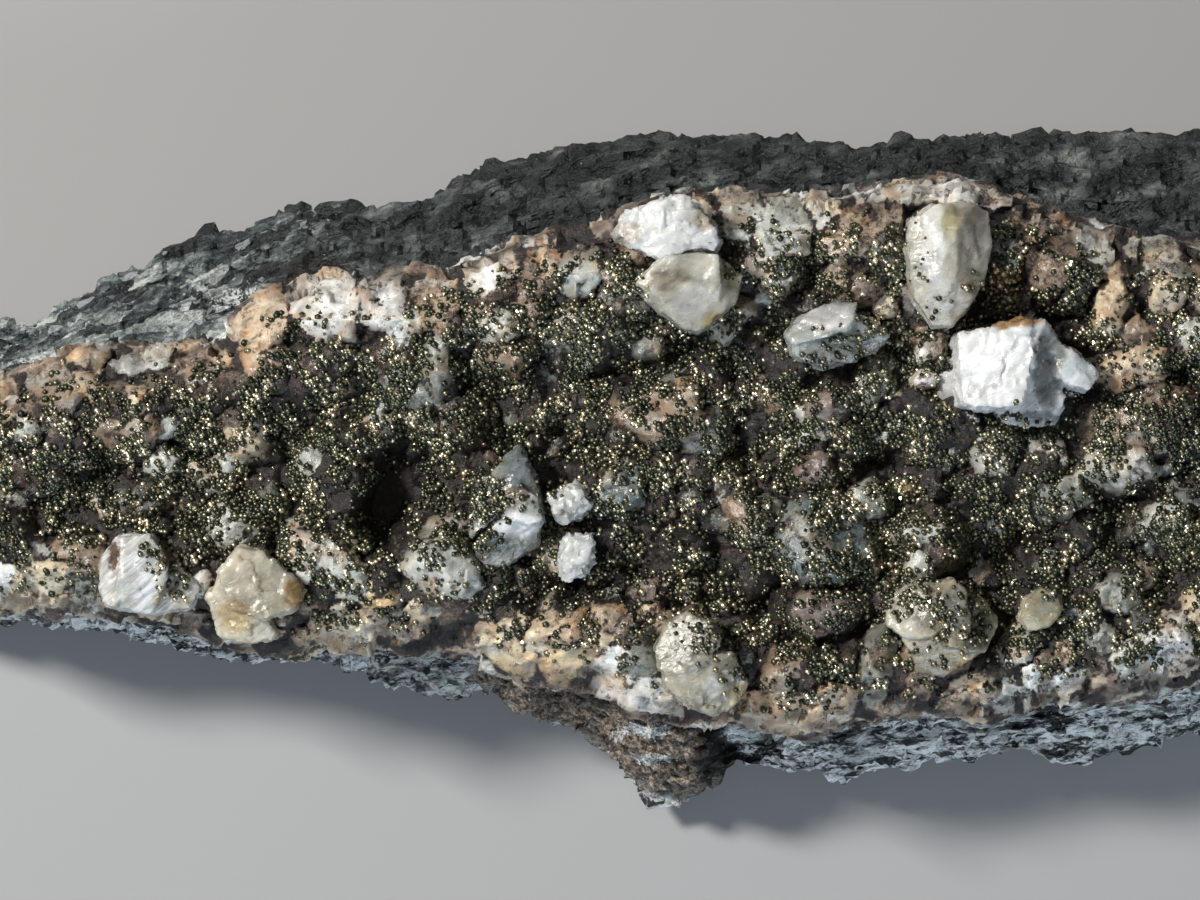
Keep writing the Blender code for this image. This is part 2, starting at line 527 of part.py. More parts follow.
def clear_of_crystals(x, y):
    """Whether a plan point is outside every lump and single crystal, with the skin's margin."""
    for px, py, radius, stretch, turn, _ in LUMPS:
        across = Vector((x - px, y - py))
        across.rotate(Matrix.Rotation(-math.radians(turn), 2))
        half_width = radius * LUMP_ROUNDNESS[1]
        if math.hypot(across.x / (half_width * stretch + PYRITE_MARGIN),
                      across.y / (half_width + PYRITE_MARGIN)) < 1:
            return False
    return all(distance_to(x, y, crystal_outline(c)) > PYRITE_MARGIN for c in CRYSTALS.values())


def largest_patch(faces):
    """The largest set of faces that join along their edges."""
    left = set(faces)
    best = []
    while left:
        patch, queue = [], [min(left, key=lambda f: f.index)]
        left.discard(queue[0])
        while queue:
            face = queue.pop()
            patch.append(face)
            for edge in face.edges:
                for other in edge.link_faces:
                    if other in left:
                        left.discard(other)
                        queue.append(other)
        if len(patch) > len(best):
            best = patch
    return best


def without_pinches(faces):
    """Drops faces until no corner joins two parts of the patch that share no edge there."""
    kept = set(faces)
    changed = True
    while changed:
        changed = False
        for vert in sorted({v for f in kept for v in f.verts}, key=lambda v: v.index):
            around = [f for f in vert.link_faces if f in kept]
            open_edges = [e for e in vert.link_edges if sum(f in kept for f in e.link_faces) == 1]
            if len(open_edges) > 2:
                kept.discard(min(around, key=lambda f: f.index))
                changed = True
    return kept


def pyrite_mesh(rays):
    """A thin uneven skin that follows the crust's top in its trough."""
    bm = bmesh.new()
    _, _, top = crust_grid(bm, rays)
    bmesh.ops.triangulate(bm, faces=bm.faces[:], quad_method="FIXED")
    bm.faces.index_update()
    bm.verts.index_update()
    chosen = []
    for face in bm.faces:
        middle = face.calc_center_median()
        if not inside_outline(middle.x, middle.y, PYRITE_BORDER):
            continue
        if all(clear_of_crystals(point.x, point.y) for point in [middle] + [v.co for v in face.verts]):
            chosen.append(face)
    kept = set(largest_patch(without_pinches(largest_patch(chosen))))
    bmesh.ops.delete(bm, geom=[f for f in bm.faces if f not in kept], context="FACES")
    bmesh.ops.delete(bm, geom=[v for v in bm.verts if not v.link_faces], context="VERTS")
    bmesh.ops.translate(bm, vec=(0, 0, GAP), verts=bm.verts[:])
    raised = bmesh.ops.extrude_face_region(bm, geom=bm.faces[:], use_keep_orig=True)["geom"]
    for v in raised:
        if isinstance(v, bmesh.types.BMVert):
            v.co.z += PYRITE_THICK + ripple(v.co.x, v.co.y, PYRITE_UNEVEN)
    return mesh_from(bm, "pyrite")


def crystal_mesh(crystal, root):
    """A tapered block on the crystal's outline, its top cut by sloping facets."""
    cx, cy = crystal["centre"]
    bm = bmesh.new()
    foot = ring(bm, [(x, y, root) for x, y in crystal["outline"]])
    face = bm.faces.new(foot)
    upper = [e for e in bmesh.ops.extrude_face_region(bm, geom=[face], use_keep_orig=True)["geom"]
             if isinstance(e, bmesh.types.BMVert)]
    for v in upper:
        v.co = (v.co.x * CRYSTAL_TAPER, v.co.y * CRYSTAL_TAPER, crystal["top"])
    for direction, slope, distance in crystal["facets"]:
        turn, tilt = math.radians(direction), math.radians(slope)
        normal = Vector((math.cos(turn) * math.sin(tilt), math.sin(turn) * math.sin(tilt), math.cos(tilt)))
        point = Vector((math.cos(turn) * distance, math.sin(turn) * distance, crystal["top"]))
        cut = bmesh.ops.bisect_plane(bm, geom=bm.verts[:] + bm.edges[:] + bm.faces[:], plane_co=point,
                                     plane_no=normal, clear_outer=True)["geom_cut"]
        rim = [e for e in cut if isinstance(e, bmesh.types.BMEdge)]
        bmesh.ops.edgeloop_fill(bm, edges=rim)
    bmesh.ops.translate(bm, vec=(cx, cy, 0), verts=bm.verts[:])
    return mesh_from(bm, "crystal")


def main():
    for obj in list(bpy.data.objects):
        bpy.data.objects.remove(obj, do_unlink=True)
    scene = bpy.context.scene
    specimen = bpy.data.collections.new("pyrite_specimen")
    cutters = bpy.data.collections.new("cutters")
    scene.collection.children.link(specimen)
    scene.collection.children.link(cutters)
    origin = bpy.data.objects.new("specimen_origin", None)
    origin.location = (-CENTRE[0] * MM, -CENTRE[1] * MM, 0)
    specimen.objects.link(origin)

    rays = stations()
    gneiss = material("gneiss", (0.07, 0.08, 0.09), 0.55)
    calcite = material("calcite crust", (0.42, 0.34, 0.26), 0.5)
    brass = material("pyrite", (0.42, 0.36, 0.18), 0.3, 1.0)
    new_object("gneiss_matrix", gneiss_mesh(rays), specimen, gneiss, origin)
    joined = crust_mesh(rays, cutters)
    new_object("calcite_crust", joined, specimen, calcite, origin)
    new_object("pyrite_druse", pyrite_mesh(rays), specimen, brass, origin)
    raised = new_object("raised_crust", joined.copy(), cutters, None, origin)
    raised.location = (0, 0, GAP * MM)
    hide(raised)
    for name, crystal in CRYSTALS.items():
        made = material(name, crystal["colour"], 0.35)
        piece = new_object(name, crystal_mesh(crystal, ROOT), specimen, made, origin)
        root = piece.modifiers.new("root on crust", "BOOLEAN")
        root.operation = "DIFFERENCE"
        root.solver = "EXACT"
        root.object = raised


main()
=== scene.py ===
import math
import random

import bmesh
import bpy
import numpy as np
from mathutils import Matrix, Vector, noise


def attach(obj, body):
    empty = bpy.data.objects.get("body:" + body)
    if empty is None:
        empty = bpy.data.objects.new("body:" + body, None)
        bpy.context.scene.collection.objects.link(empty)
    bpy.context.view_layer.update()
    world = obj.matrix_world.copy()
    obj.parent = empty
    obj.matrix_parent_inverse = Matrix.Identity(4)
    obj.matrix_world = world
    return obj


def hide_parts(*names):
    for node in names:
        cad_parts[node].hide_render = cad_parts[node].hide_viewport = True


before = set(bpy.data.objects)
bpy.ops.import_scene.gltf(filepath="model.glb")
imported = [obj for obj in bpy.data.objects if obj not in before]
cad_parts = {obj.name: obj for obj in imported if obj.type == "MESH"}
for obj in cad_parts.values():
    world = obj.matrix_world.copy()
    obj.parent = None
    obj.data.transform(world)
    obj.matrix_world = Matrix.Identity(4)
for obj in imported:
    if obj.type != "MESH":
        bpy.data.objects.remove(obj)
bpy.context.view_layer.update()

mm = 0.001
slabCentre = (1.55, -0.8, 0.0)   # point, in the crust's own millimetres, that sits at the origin
seatZ = 14.0                     # flat of the rock under the crust
tableSize = 4096                 # length of the tables of random values behind the patterns

# back edge from left to right, then front edge from right to left, in mm on the crust's face
crustBorder = [
    (-45.0, -0.3), (-43.7, 2.7), (-39.6, 3.9), (-36.0, 4.0), (-33.3, 5.0), (-31.5, 5.9), (-27.6, 5.6),
    (-24.0, 5.9), (-22.2, 6.5), (-21.2, 8.8), (-18.0, 10.0), (-11.4, 10.0), (-9.0, 10.6), (-6.6, 11.8),
    (-0.6, 12.9), (2.4, 14.6), (5.4, 15.2), (9.6, 15.2), (15.0, 14.9), (18.0, 15.5), (21.9, 16.0),
    (24.3, 15.1), (27.0, 13.9), (31.2, 12.7), (36.0, 12.0), (40.2, 10.9), (44.4, 9.0), (46.5, 6.0),
    (47.1, 1.2), (46.8, -4.2), (45.0, -9.6), (41.4, -12.3), (36.0, -13.7), (33.4, -14.0), (30.4, -14.9),
    (26.4, -15.0), (23.7, -16.0), (19.7, -15.5), (16.3, -15.8), (13.0, -16.9), (10.2, -16.6), (8.5, -16.0),
    (5.2, -16.0), (2.9, -15.5), (0.0, -14.0), (-4.6, -13.5), (-7.6, -11.8), (-10.1, -11.6), (-19.5, -11.7),
    (-23.1, -11.3), (-25.8, -10.3), (-28.2, -9.9), (-32.4, -9.4), (-36.0, -9.5), (-39.6, -9.0),
    (-42.9, -6.9), (-44.9, -3.6),
]
rockOutline = [
    (-48.5, 0.0), (-47.6, 3.4), (-45.1, 6.1), (-40.8, 7.4), (-37.1, 8.0), (-34.6, 7.7), (-32.1, 9.1),
    (-29.4, 10.8), (-26.0, 12.5), (-22.2, 13.5), (-18.5, 15.0), (-13.9, 14.9), (-10.5, 15.3), (-8.5, 16.8),
    (-5.6, 17.9), (0.0, 19.0), (5.6, 19.2), (12.4, 19.5), (16.4, 18.8), (22.2, 19.2), (27.5, 19.5),
    (32.1, 19.7), (37.1, 20.0), (42.0, 19.9), (46.4, 18.5), (49.4, 15.5), (51.0, 11.1), (51.6, 3.1),
    (51.3, -4.3), (49.7, -10.5), (47.0, -14.8), (42.0, -16.8), (37.1, -17.3), (32.2, -18.5), (28.1, -19.3),
    (25.5, -18.5), (22.4, -19.2), (17.9, -19.5), (14.2, -20.4), (12.4, -19.4), (10.9, -19.4), (8.2, -19.3),
    (7.0, -20.5), (5.9, -21.6), (3.4, -21.1), (1.1, -19.3), (-1.0, -17.3), (-3.5, -16.3), (-5.7, -15.0),
    (-8.8, -15.3), (-12.7, -14.8), (-16.6, -13.3), (-21.4, -13.0), (-24.8, -11.9), (-28.6, -11.6),
    (-32.5, -10.8), (-36.2, -9.9), (-40.8, -10.6), (-45.1, -8.7), (-47.7, -4.3),
]

# colours of the calcite
palette = {
    "white": (0.80, 0.81, 0.79), "cream": (0.67, 0.58, 0.43), "yellow": (0.66, 0.52, 0.31),
    "peach": (0.50, 0.395, 0.285), "tan": (0.25, 0.195, 0.145), "paleGrey": (0.46, 0.48, 0.45),
    "grey": (0.20, 0.215, 0.195), "blueGrey": (0.14, 0.175, 0.18), "pinkGrey": (0.21, 0.165, 0.145),
    "brown": (0.055, 0.036, 0.027), "rust": (0.13, 0.05, 0.025), "dark": (0.014, 0.011, 0.011),
}


# 0 before start and 1 after end, smooth between them
def ease(start, end, value):
    t = np.clip((np.asarray(value, float) - start) / (end - start), 0.0, 1.0)
    return t * t * (3 - 2 * t)


# points measured in cells of a lattice, and the cell that each is in
def inLattice(x, y, z, size):
    p = [np.asarray(a, float) / size + 1000.0 for a in (x, y, z)]
    return p, [np.floor(a).astype(np.int64) for a in p]


# a cell's place in the random tables
def tablePlace(i, j, k):
    return (i * 73856093 ^ j * 19349663 ^ k * 83492791) & (tableSize - 1)


# smooth random field from about -1 to 1 with bumps about size across, for arrays of points in mm
def roll(x, y, z, size, seed):
    rng = np.random.default_rng(seed)
    slopes = rng.normal(size=(tableSize, 3))
    slopes /= np.linalg.norm(slopes, axis=1)[:, None]
    p, low = inLattice(x, y, z, size)
    part = [a - b for a, b in zip(p, low)]
    fade = [a * a * a * (a * (a * 6 - 15) + 10) for a in part]
    total = 0.0
    for i in (0, 1):
        for j in (0, 1):
            for k in (0, 1):
                g = slopes[tablePlace(low[0] + i, low[1] + j, low[2] + k)]
                dot = g[..., 0] * (part[0] - i) + g[..., 1] * (part[1] - j) + g[..., 2] * (part[2] - k)
                weight = (fade[0] if i else 1 - fade[0]) * (fade[1] if j else 1 - fade[1])
                total = total + dot * weight * (fade[2] if k else 1 - fade[2])
    return total * 1.6


# which cell of an uneven lattice each point lies in, and how far it is from the cell's middle
def nearestCell(x, y, z, size, places):
    p, low = inLattice(x, y, z, size)
    nearest = np.full(p[0].shape, 1e9)
    found = np.zeros(p[0].shape, np.int64)
    offsets = [np.zeros(p[0].shape) for n in range(3)]
    for i in (-1, 0, 1):
        for j in (-1, 0, 1):
            for k in (-1, 0, 1):
                cell = (low[0] + i, low[1] + j, low[2] + k)
                key = tablePlace(*cell)
                away = [p[n] - cell[n] - places[key, n] for n in range(3)]
                distance = away[0] ** 2 + away[1] ** 2 + away[2] ** 2
                closer = distance < nearest
                nearest = np.where(closer, distance, nearest)
                found = np.where(closer, key, found)
                offsets = [np.where(closer, new, old) for new, old in zip(away, offsets)]
    return found, offsets


# flat facets about size across with sharp creases between them, from about -0.5 to 0.5
def chipped(x, y, z, size, seed):
    rng = np.random.default_rng(seed)
    places = rng.uniform(0.1, 0.9, size=(tableSize, 3))
    tilts = rng.normal(size=(tableSize, 3))
    tilts *= 0.75 / np.linalg.norm(tilts, axis=1)[:, None]
    steps = rng.uniform(-0.2, 0.2, tableSize)
    key, away = nearestCell(x, y, z, size, places)
    return sum(away[n] * tilts[key, n] for n in range(3)) + steps[key]


# distance to an outline's edge, positive inside it
def insideBy(x, y, outline):
    inside = np.zeros(x.shape, bool)
    nearest = np.full(x.shape, 1e9)
    for (x0, y0), (x1, y1) in zip(outline, outline[1:] + outline[:1]):
        if y0 != y1:
            crosses = (y0 > y) != (y1 > y)
            inside ^= crosses & (x < x0 + (x1 - x0) * (y - y0) / (y1 - y0))
        rx, ry = x1 - x0, y1 - y0
        share = np.clip(((x - x0) * rx + (y - y0) * ry) / (rx * rx + ry * ry), 0, 1)
        nearest = np.minimum(nearest, np.hypot(x0 + rx * share - x, y0 + ry * share - y))
    return np.where(inside, nearest, -nearest)


# soft round spots added up: x, y, half length, half width, amount
def blobs(x, y, spots):
    total = np.zeros(x.shape)
    for px, py, length, width, amount in spots:
        total += amount * np.exp(-(((x - px) / length) ** 2 + ((y - py) / width) ** 2))
    return total


def newObject(name, data):
    obj = bpy.data.objects.new(name, data)
    bpy.context.scene.collection.objects.link(obj)
    return obj


# an object from points in the crust's millimetres
def meshFrom(name, points, faces):
    mesh = bpy.data.meshes.new(name)
    placed = (np.asarray(points, float) - slabCentre) * mm
    mesh.from_pydata(placed.tolist(), [], faces)
    mesh.update()
    return newObject(name, mesh)


def giveValues(mesh, name, values):
    layer = mesh.attributes.new(name, "FLOAT", "POINT")
    layer.data.foreach_set("value", np.asarray(values, np.float32))


def giveColours(mesh, name, values):
    layer = mesh.color_attributes.new(name, "FLOAT_COLOR", "POINT")
    rgba = np.ones((len(values), 4), np.float32)
    rgba[:, :3] = values
    layer.data.foreach_set("color", rgba.ravel())


def pointsOf(mesh):
    co = np.empty(len(mesh.vertices) * 3)
    mesh.vertices.foreach_get("co", co)
    return co.reshape(-1, 3) / mm + slabCentre


def normalsOf(mesh):
    normals = np.empty(len(mesh.vertices) * 3)
    mesh.vertices.foreach_get("normal", normals)
    return normals.reshape(-1, 3)


def putPoints(mesh, points):
    placed = (points - slabCentre) * mm
    mesh.vertices.foreach_set("co", placed.ravel())
    mesh.update()


def outwards(mesh):
    bm = bmesh.new()
    bm.from_mesh(mesh)
    bmesh.ops.recalc_face_normals(bm, faces=bm.faces[:])
    bm.to_mesh(mesh)
    bm.free()


# materials


# links a socket to an input, or sets the input to a colour or a number
def feed(tree, value, socket):
    if isinstance(value, bpy.types.NodeSocket):
        tree.links.new(value, socket)
    elif socket.type == "RGBA":
        socket.default_value = (*value, 1.0)
    else:
        socket.default_value = value


def addNode(tree, kind, inputs=(), **settings):
    node = tree.nodes.new(kind)
    for name, value in settings.items():
        setattr(node, name, value)
    for name, value in dict(inputs).items():
        feed(tree, value, node.inputs[name])
    return node.outputs


def newMaterial(name):
    mat = bpy.data.materials.new(name)
    mat.use_nodes = True
    return mat, mat.node_tree


def giveShader(tree, values):
    for name, value in values.items():
        feed(tree, value, tree.nodes["Principled BSDF"].inputs[name])


def noiseNode(tree, vector, scale, detail=4.0, rough=0.55, distortion=0.0, output="Fac"):
    inputs = {"Vector": vector, "Scale": scale, "Detail": detail, "Roughness": rough,
              "Distortion": distortion}
    return addNode(tree, "ShaderNodeTexNoise", inputs)[output]


def cells(tree, vector, scale):
    return addNode(tree, "ShaderNodeTexVoronoi", {"Vector": vector, "Scale": scale})


# three random values for each cell
def cellValues(tree, pattern):
    return addNode(tree, "ShaderNodeSeparateColor", {"Color": pattern["Color"]})


def ramp(tree, value, stops):
    outputs = addNode(tree, "ShaderNodeValToRGB", {"Fac": value})
    elements = outputs["Color"].node.color_ramp.elements
    while len(elements) < len(stops):
        elements.new(0.5)
    for element, (at, colour) in zip(elements, stops):
        element.position = at
        element.color = (*colour, 1.0)
    return outputs["Color"]


def between(tree, value, low, high, outLow=0.0, outHigh=1.0):
    inputs = {"Value": value, "From Min": low, "From Max": high, "To Min": outLow, "To Max": outHigh}
    return addNode(tree, "ShaderNodeMapRange", inputs)["Result"]


# the mix node keeps its number sockets at 2 and 3 and its colour sockets at 6 and 7
def mixColour(tree, fac, a, b, blend="MIX"):
    return addNode(tree, "ShaderNodeMix", {0: fac, 6: a, 7: b}, data_type="RGBA", blend_type=blend)[2]


def mixValue(tree, fac, a, b):
    return addNode(tree, "ShaderNodeMix", {0: fac, 2: a, 3: b}, data_type="FLOAT")[0]


def maths(tree, operation, a, b):
    return addNode(tree, "ShaderNodeMath", {0: a, 1: b}, operation=operation)[0]


def times(tree, a, b):
    return maths(tree, "MULTIPLY", a, b)


def added(tree, a, b):
    return maths(tree, "ADD", a, b)


# a sum of values, each times its share
def weighed(tree, *terms):
    total = None
    for value, share in terms:
        term = value if share == 1 else times(tree, value, share)
        total = term if total is None else added(tree, total, term)
    return total


def objectPoints(tree, scale=(1.0, 1.0, 1.0), turn=(0.0, 0.0, 0.0), kind="POINT"):
    where = addNode(tree, "ShaderNodeTexCoord")["Object"]
    inputs = {"Vector": where, "Scale": scale, "Rotation": turn}
    return addNode(tree, "ShaderNodeMapping", inputs, vector_type=kind)["Vector"]


# the same, drawn out: lengths say how much longer the pattern is along each turned axis
def drawnPoints(tree, lengths, turn):
    return objectPoints(tree, lengths, turn, "TEXTURE")


# a vector with ragged small wanderings, so that cell borders aren't straight
def wandering(tree, vector, scale, amount):
    drift = noiseNode(tree, vector, scale, 4.0, 0.5, output="Color")
    centred = addNode(tree, "ShaderNodeVectorMath", {0: drift, 1: (0.5, 0.5, 0.5)}, operation="SUBTRACT")[0]
    scaled = addNode(tree, "ShaderNodeVectorMath", {0: centred, "Scale": amount}, operation="SCALE")[0]
    return addNode(tree, "ShaderNodeVectorMath", {0: vector, 1: scaled})[0]


def attribute(tree, name, output="Fac"):
    return addNode(tree, "ShaderNodeAttribute", attribute_name=name)[output]


def bumpOf(tree, height, strength, distance):
    inputs = {"Strength": strength, "Distance": distance, "Height": height}
    return addNode(tree, "ShaderNodeBump", inputs)["Normal"]


dustLook = {
    "speckScale": 5200.0,
    "speckSize": 0.42,       # reach of a speck in its cell
    "dark": (0.10, 0.10, 0.06),
    "middle": (0.30, 0.28, 0.17),
    "bright": (0.60, 0.53, 0.35),
}


# specks of pyrite too small to model, with a random colour for each speck
def pyriteDustGroup():
    look = dustLook
    group = bpy.data.node_groups.new("pyriteDust", "ShaderNodeTree")
    for label, side, kind in (("Vector", "INPUT", "Vector"), ("Cover", "INPUT", "Float"),
                              ("Mask", "OUTPUT", "Float"), ("Colour", "OUTPUT", "Color"),
                              ("Height", "OUTPUT", "Float")):
        group.interface.new_socket(label, in_out=side, socket_type="NodeSocket" + kind)
    inside = addNode(group, "NodeGroupInput")
    outside = group.nodes.new("NodeGroupOutput")
    speck = cells(group, inside["Vector"], look["speckScale"])
    split = cellValues(group, speck)
    wanted = maths(group, "LESS_THAN", split["Red"], inside["Cover"])
    near = maths(group, "LESS_THAN", speck["Distance"], look["speckSize"])
    mask = times(group, wanted, near)
    tone = ramp(group, split["Green"], [(0.0, look["dark"]), (0.6, look["middle"]), (1.0, look["bright"])])
    height = times(group, mask, maths(group, "SUBTRACT", 0.6, speck["Distance"]))
    for name, value in (("Mask", mask), ("Colour", tone), ("Height", height)):
        feed(group, value, outside.inputs[name])
    return group


pyriteDust = pyriteDustGroup()


def dustOver(tree, points, cover, share):
    inputs = {"Vector": points, "Cover": times(tree, cover, share)}
    return addNode(tree, "ShaderNodeGroup", inputs, node_tree=pyriteDust)


crustLook = {
    "mottleScale": 900.0,    # cloudy light and dark
    "raggedScale": 2400.0,   # crumbs of the brown coat
    "spotScale": 1000.0,     # small dark stains
    "glowScale": 420.0,      # broad orange stains
    "chipScale": 1500.0,
    "coatColour": (0.014, 0.009, 0.0077),
    "coatDark": (0.004, 0.003, 0.003),
    "coatBrown": (0.048, 0.028, 0.022),
    "coatPale": (0.13, 0.085, 0.065),
    "stain": (0.05, 0.026, 0.018),
    "orange": (0.86, 0.52, 0.26),
    "milk": (0.56, 0.55, 0.50),
    "dustShare": 0.22,
    "bump": 0.5,
    "spread": (1.0, 0.75, 0.5),
    "spreadLength": 0.0012,  # how far light spreads inside, in metres
}
calciteIor = 1.58


def crustMaterial():
    look = crustLook
    mat, tree = newMaterial("crustCalcite")
    points = objectPoints(tree)
    tint = attribute(tree, "tint", "Color")
    coat = attribute(tree, "coat")
    mottle = noiseNode(tree, points, look["mottleScale"], 5.0, 0.68)
    cloud = noiseNode(tree, points, look["mottleScale"] * 0.45, 2.0, 0.55)
    ragged = noiseNode(tree, points, look["raggedScale"], 4.0, 0.75)
    stone = mixColour(tree, 1.0, tint, between(tree, mottle, 0.28, 0.72, 0.5, 1.3), "MULTIPLY")
    bright = times(tree, between(tree, cloud, 0.5, 0.66, 0.0, 0.45), between(tree, coat, 0.1, 0.6, 1.0, 0.0))
    milky = mixColour(tree, bright, stone, look["milk"])
    spots = noiseNode(tree, points, look["spotScale"], 5.0, 0.76)
    glow = noiseNode(tree, points, look["glowScale"], 2.0, 0.6)
    warm = mixColour(tree, between(tree, glow, 0.52, 0.66, 0.0, 0.55), (1.0, 1.0, 1.0), look["orange"])
    stained = mixColour(tree, 1.0, milky, warm, "MULTIPLY")
    stained = mixColour(tree, between(tree, spots, 0.56, 0.61, 0.0, 0.85), stained, look["stain"])
    edge = added(tree, coat, between(tree, ragged, 0.25, 0.75, -0.4, 0.4))
    coatMask = between(tree, edge, 0.36, 0.6)
    coatTone = ramp(tree, ragged, [(0.0, look["coatDark"]), (0.45, look["coatDark"]),
                                   (0.54, look["coatColour"]), (0.64, look["coatBrown"]),
                                   (0.78, look["coatPale"])])
    # painted light: edges seen at a slant are lightened and faces turned to the camera darkened, a painted
    # glow for light passing through the calcite
    rim = addNode(tree, "ShaderNodeLayerWeight", {"Blend": 0.35})["Facing"]
    edgeGlowStone = mixColour(tree, 1.0, stained, between(tree, rim, 0.1, 0.7, 0.92, 1.45), "MULTIPLY")
    body = mixColour(tree, coatMask, edgeGlowStone, coatTone)
    dust = dustOver(tree, points, attribute(tree, "pyriteCover"), look["dustShare"])
    rough = added(tree, between(tree, coatMask, 0.0, 1.0, 0.22, 0.5),
                  between(tree, mottle, 0.3, 0.7, -0.1, 0.14))
    chip = cellValues(tree, cells(tree, wandering(tree, points, 3000.0, 0.0004), look["chipScale"]))
    crumbs = times(tree, ragged, between(tree, coatMask, 0.0, 1.0, 0.6, 2.4))
    height = weighed(tree, (crumbs, 1), (dust["Height"], 1), (mottle, 0.8), (chip["Red"], 0.35))
    giveShader(tree, {
        "Base Color": mixColour(tree, dust["Mask"], body, dust["Colour"]),
        "Metallic": dust["Mask"],
        "Roughness": mixValue(tree, dust["Mask"], rough, 0.3),
        "Normal": bumpOf(tree, height, look["bump"], 0.00028),
        "Subsurface Weight": between(tree, coatMask, 0.0, 0.4, 0.34, 0.0),
        "Subsurface Radius": look["spread"],
        "Subsurface Scale": look["spreadLength"],
        "IOR": calciteIor,
    })
    return mat


crystalLook = {
    "veilScale": 260.0,      # milky veils inside a crystal
    "stepScale": 1400.0,     # fine cleavage steps across a face
    "cloudScale": 900.0,
    "silkScale": 3000.0,     # silky stripes of the striped crystal
    "raggedScale": 2300.0,   # edge of the brown coat
    "chipScale": 1700.0,     # broken grains of the white crystals
    "silkDark": (0.30, 0.31, 0.30),
    "silkBright": (0.86, 0.88, 0.90),
    "coatDark": (0.03, 0.018, 0.013),
    "coatRust": (0.16, 0.085, 0.045),
    "dustShare": 0.3,
    "spreadLength": 0.0014,  # how far light spreads inside, in metres
}
crystalKinds = {
    "white": {
        "slot": "white_calcite", "scatter": 0.6, "spread": (1.0, 1.0, 1.0), "veil": (0.74, 0.76, 0.77),
        "rough": 0.32, "clear": 0.2, "chips": 1.0, "silk": 0.0, "veilShare": 0.3,
    },
    "silky": {
        "slot": "cream_calcite", "scatter": 0.6, "spread": (1.0, 0.97, 0.9), "veil": (0.66, 0.68, 0.69),
        "rough": 0.24, "clear": 0.12, "chips": 0.1, "silk": 0.65, "veilShare": 0.2,
    },
    "cream": {
        "slot": "cream_calcite", "scatter": 0.85, "spread": (1.0, 0.85, 0.6), "veil": (0.60, 0.575, 0.49),
        "rough": 0.23, "clear": 0.5, "chips": 0.15, "silk": 0.0, "veilShare": 0.5,
    },
    "grey": {
        "slot": "grey_calcite", "scatter": 0.85, "spread": (0.9, 0.95, 1.0), "veil": (0.56, 0.58, 0.57),
        "rough": 0.22, "clear": 0.6, "chips": 0.12, "silk": 0.0, "veilShare": 0.5,
    },
}


def crystalMaterial(name, kind):
    look = crystalLook
    mat, tree = newMaterial(name)
    points = objectPoints(tree)
    tint = attribute(tree, "tint", "Color")
    coat = attribute(tree, "coat")
    veils = noiseNode(tree, points, look["veilScale"], 3.0, 0.6, 0.6)
    across = drawnPoints(tree, (2.4, 0.7, 1.6), (0.5, 0.25, 0.6))
    steps = noiseNode(tree, across, look["stepScale"], 4.0, 0.6)
    cloud = noiseNode(tree, points, look["cloudScale"], 4.0, 0.65)
    shade = times(tree, between(tree, steps, 0.25, 0.75, 0.86, 1.06),
                  between(tree, cloud, 0.3, 0.7, 0.8, 1.12))
    clear = mixColour(tree, 1.0, tint, shade, "MULTIPLY")
    veiled = mixColour(tree, between(tree, veils, 0.45, 0.72, 0.0, kind["veilShare"]), clear, kind["veil"])
    # silky stripes inside the crystal, rising to the right
    stripes = drawnPoints(tree, (9.0, 1.0, 3.0), (0.0, 0.0, 0.7))
    silk = noiseNode(tree, stripes, look["silkScale"], 4.0, 0.65)
    veiled = mixColour(tree, between(tree, silk, 0.40, 0.52, kind["silk"], 0.0), veiled, look["silkDark"])
    veiled = mixColour(tree, between(tree, silk, 0.52, 0.62, 0.0, kind["silk"]), veiled, look["silkBright"])
    ragged = noiseNode(tree, points, look["raggedScale"], 5.0, 0.7)
    edge = added(tree, coat, between(tree, ragged, 0.2, 0.8, -0.35, 0.35))
    coatMask = between(tree, edge, 0.42, 0.62)
    coatTone = mixColour(tree, between(tree, cloud, 0.42, 0.6), look["coatDark"], look["coatRust"])
    body = mixColour(tree, coatMask, veiled, coatTone)
    dust = dustOver(tree, points, attribute(tree, "pyriteCover"), look["dustShare"])
    rough = kind["rough"]
    roughness = added(tree, between(tree, steps, 0.3, 0.7, rough - 0.1, rough + 0.12),
                      between(tree, coatMask, 0.0, 1.0, 0.0, 0.3))
    # clear between the veils, milky in them
    see = times(tree, between(tree, veils, 0.40, 0.60, kind["clear"], 0.05),
                between(tree, coatMask, 0.0, 1.0, 1.0, 0.0))
    broken = wandering(tree, drawnPoints(tree, (1.5, 1.0, 1.0), (0.3, 0.2, 0.7)), 2600.0, 0.0004)
    chip = cellValues(tree, cells(tree, broken, look["chipScale"]))
    height = weighed(tree, (steps, 1.1), (ragged, 0.35), (chip["Red"], kind["chips"]))
    giveShader(tree, {
        "Base Color": mixColour(tree, dust["Mask"], body, dust["Colour"]),
        "Metallic": dust["Mask"],
        "Roughness": roughness,
        "Transmission Weight": see,
        "Normal": bumpOf(tree, height, 0.5, 0.00025),
        "Subsurface Weight": kind["scatter"],
        "Subsurface Radius": kind["spread"],
        "Subsurface Scale": look["spreadLength"],
        "IOR": calciteIor,
    })
    return mat


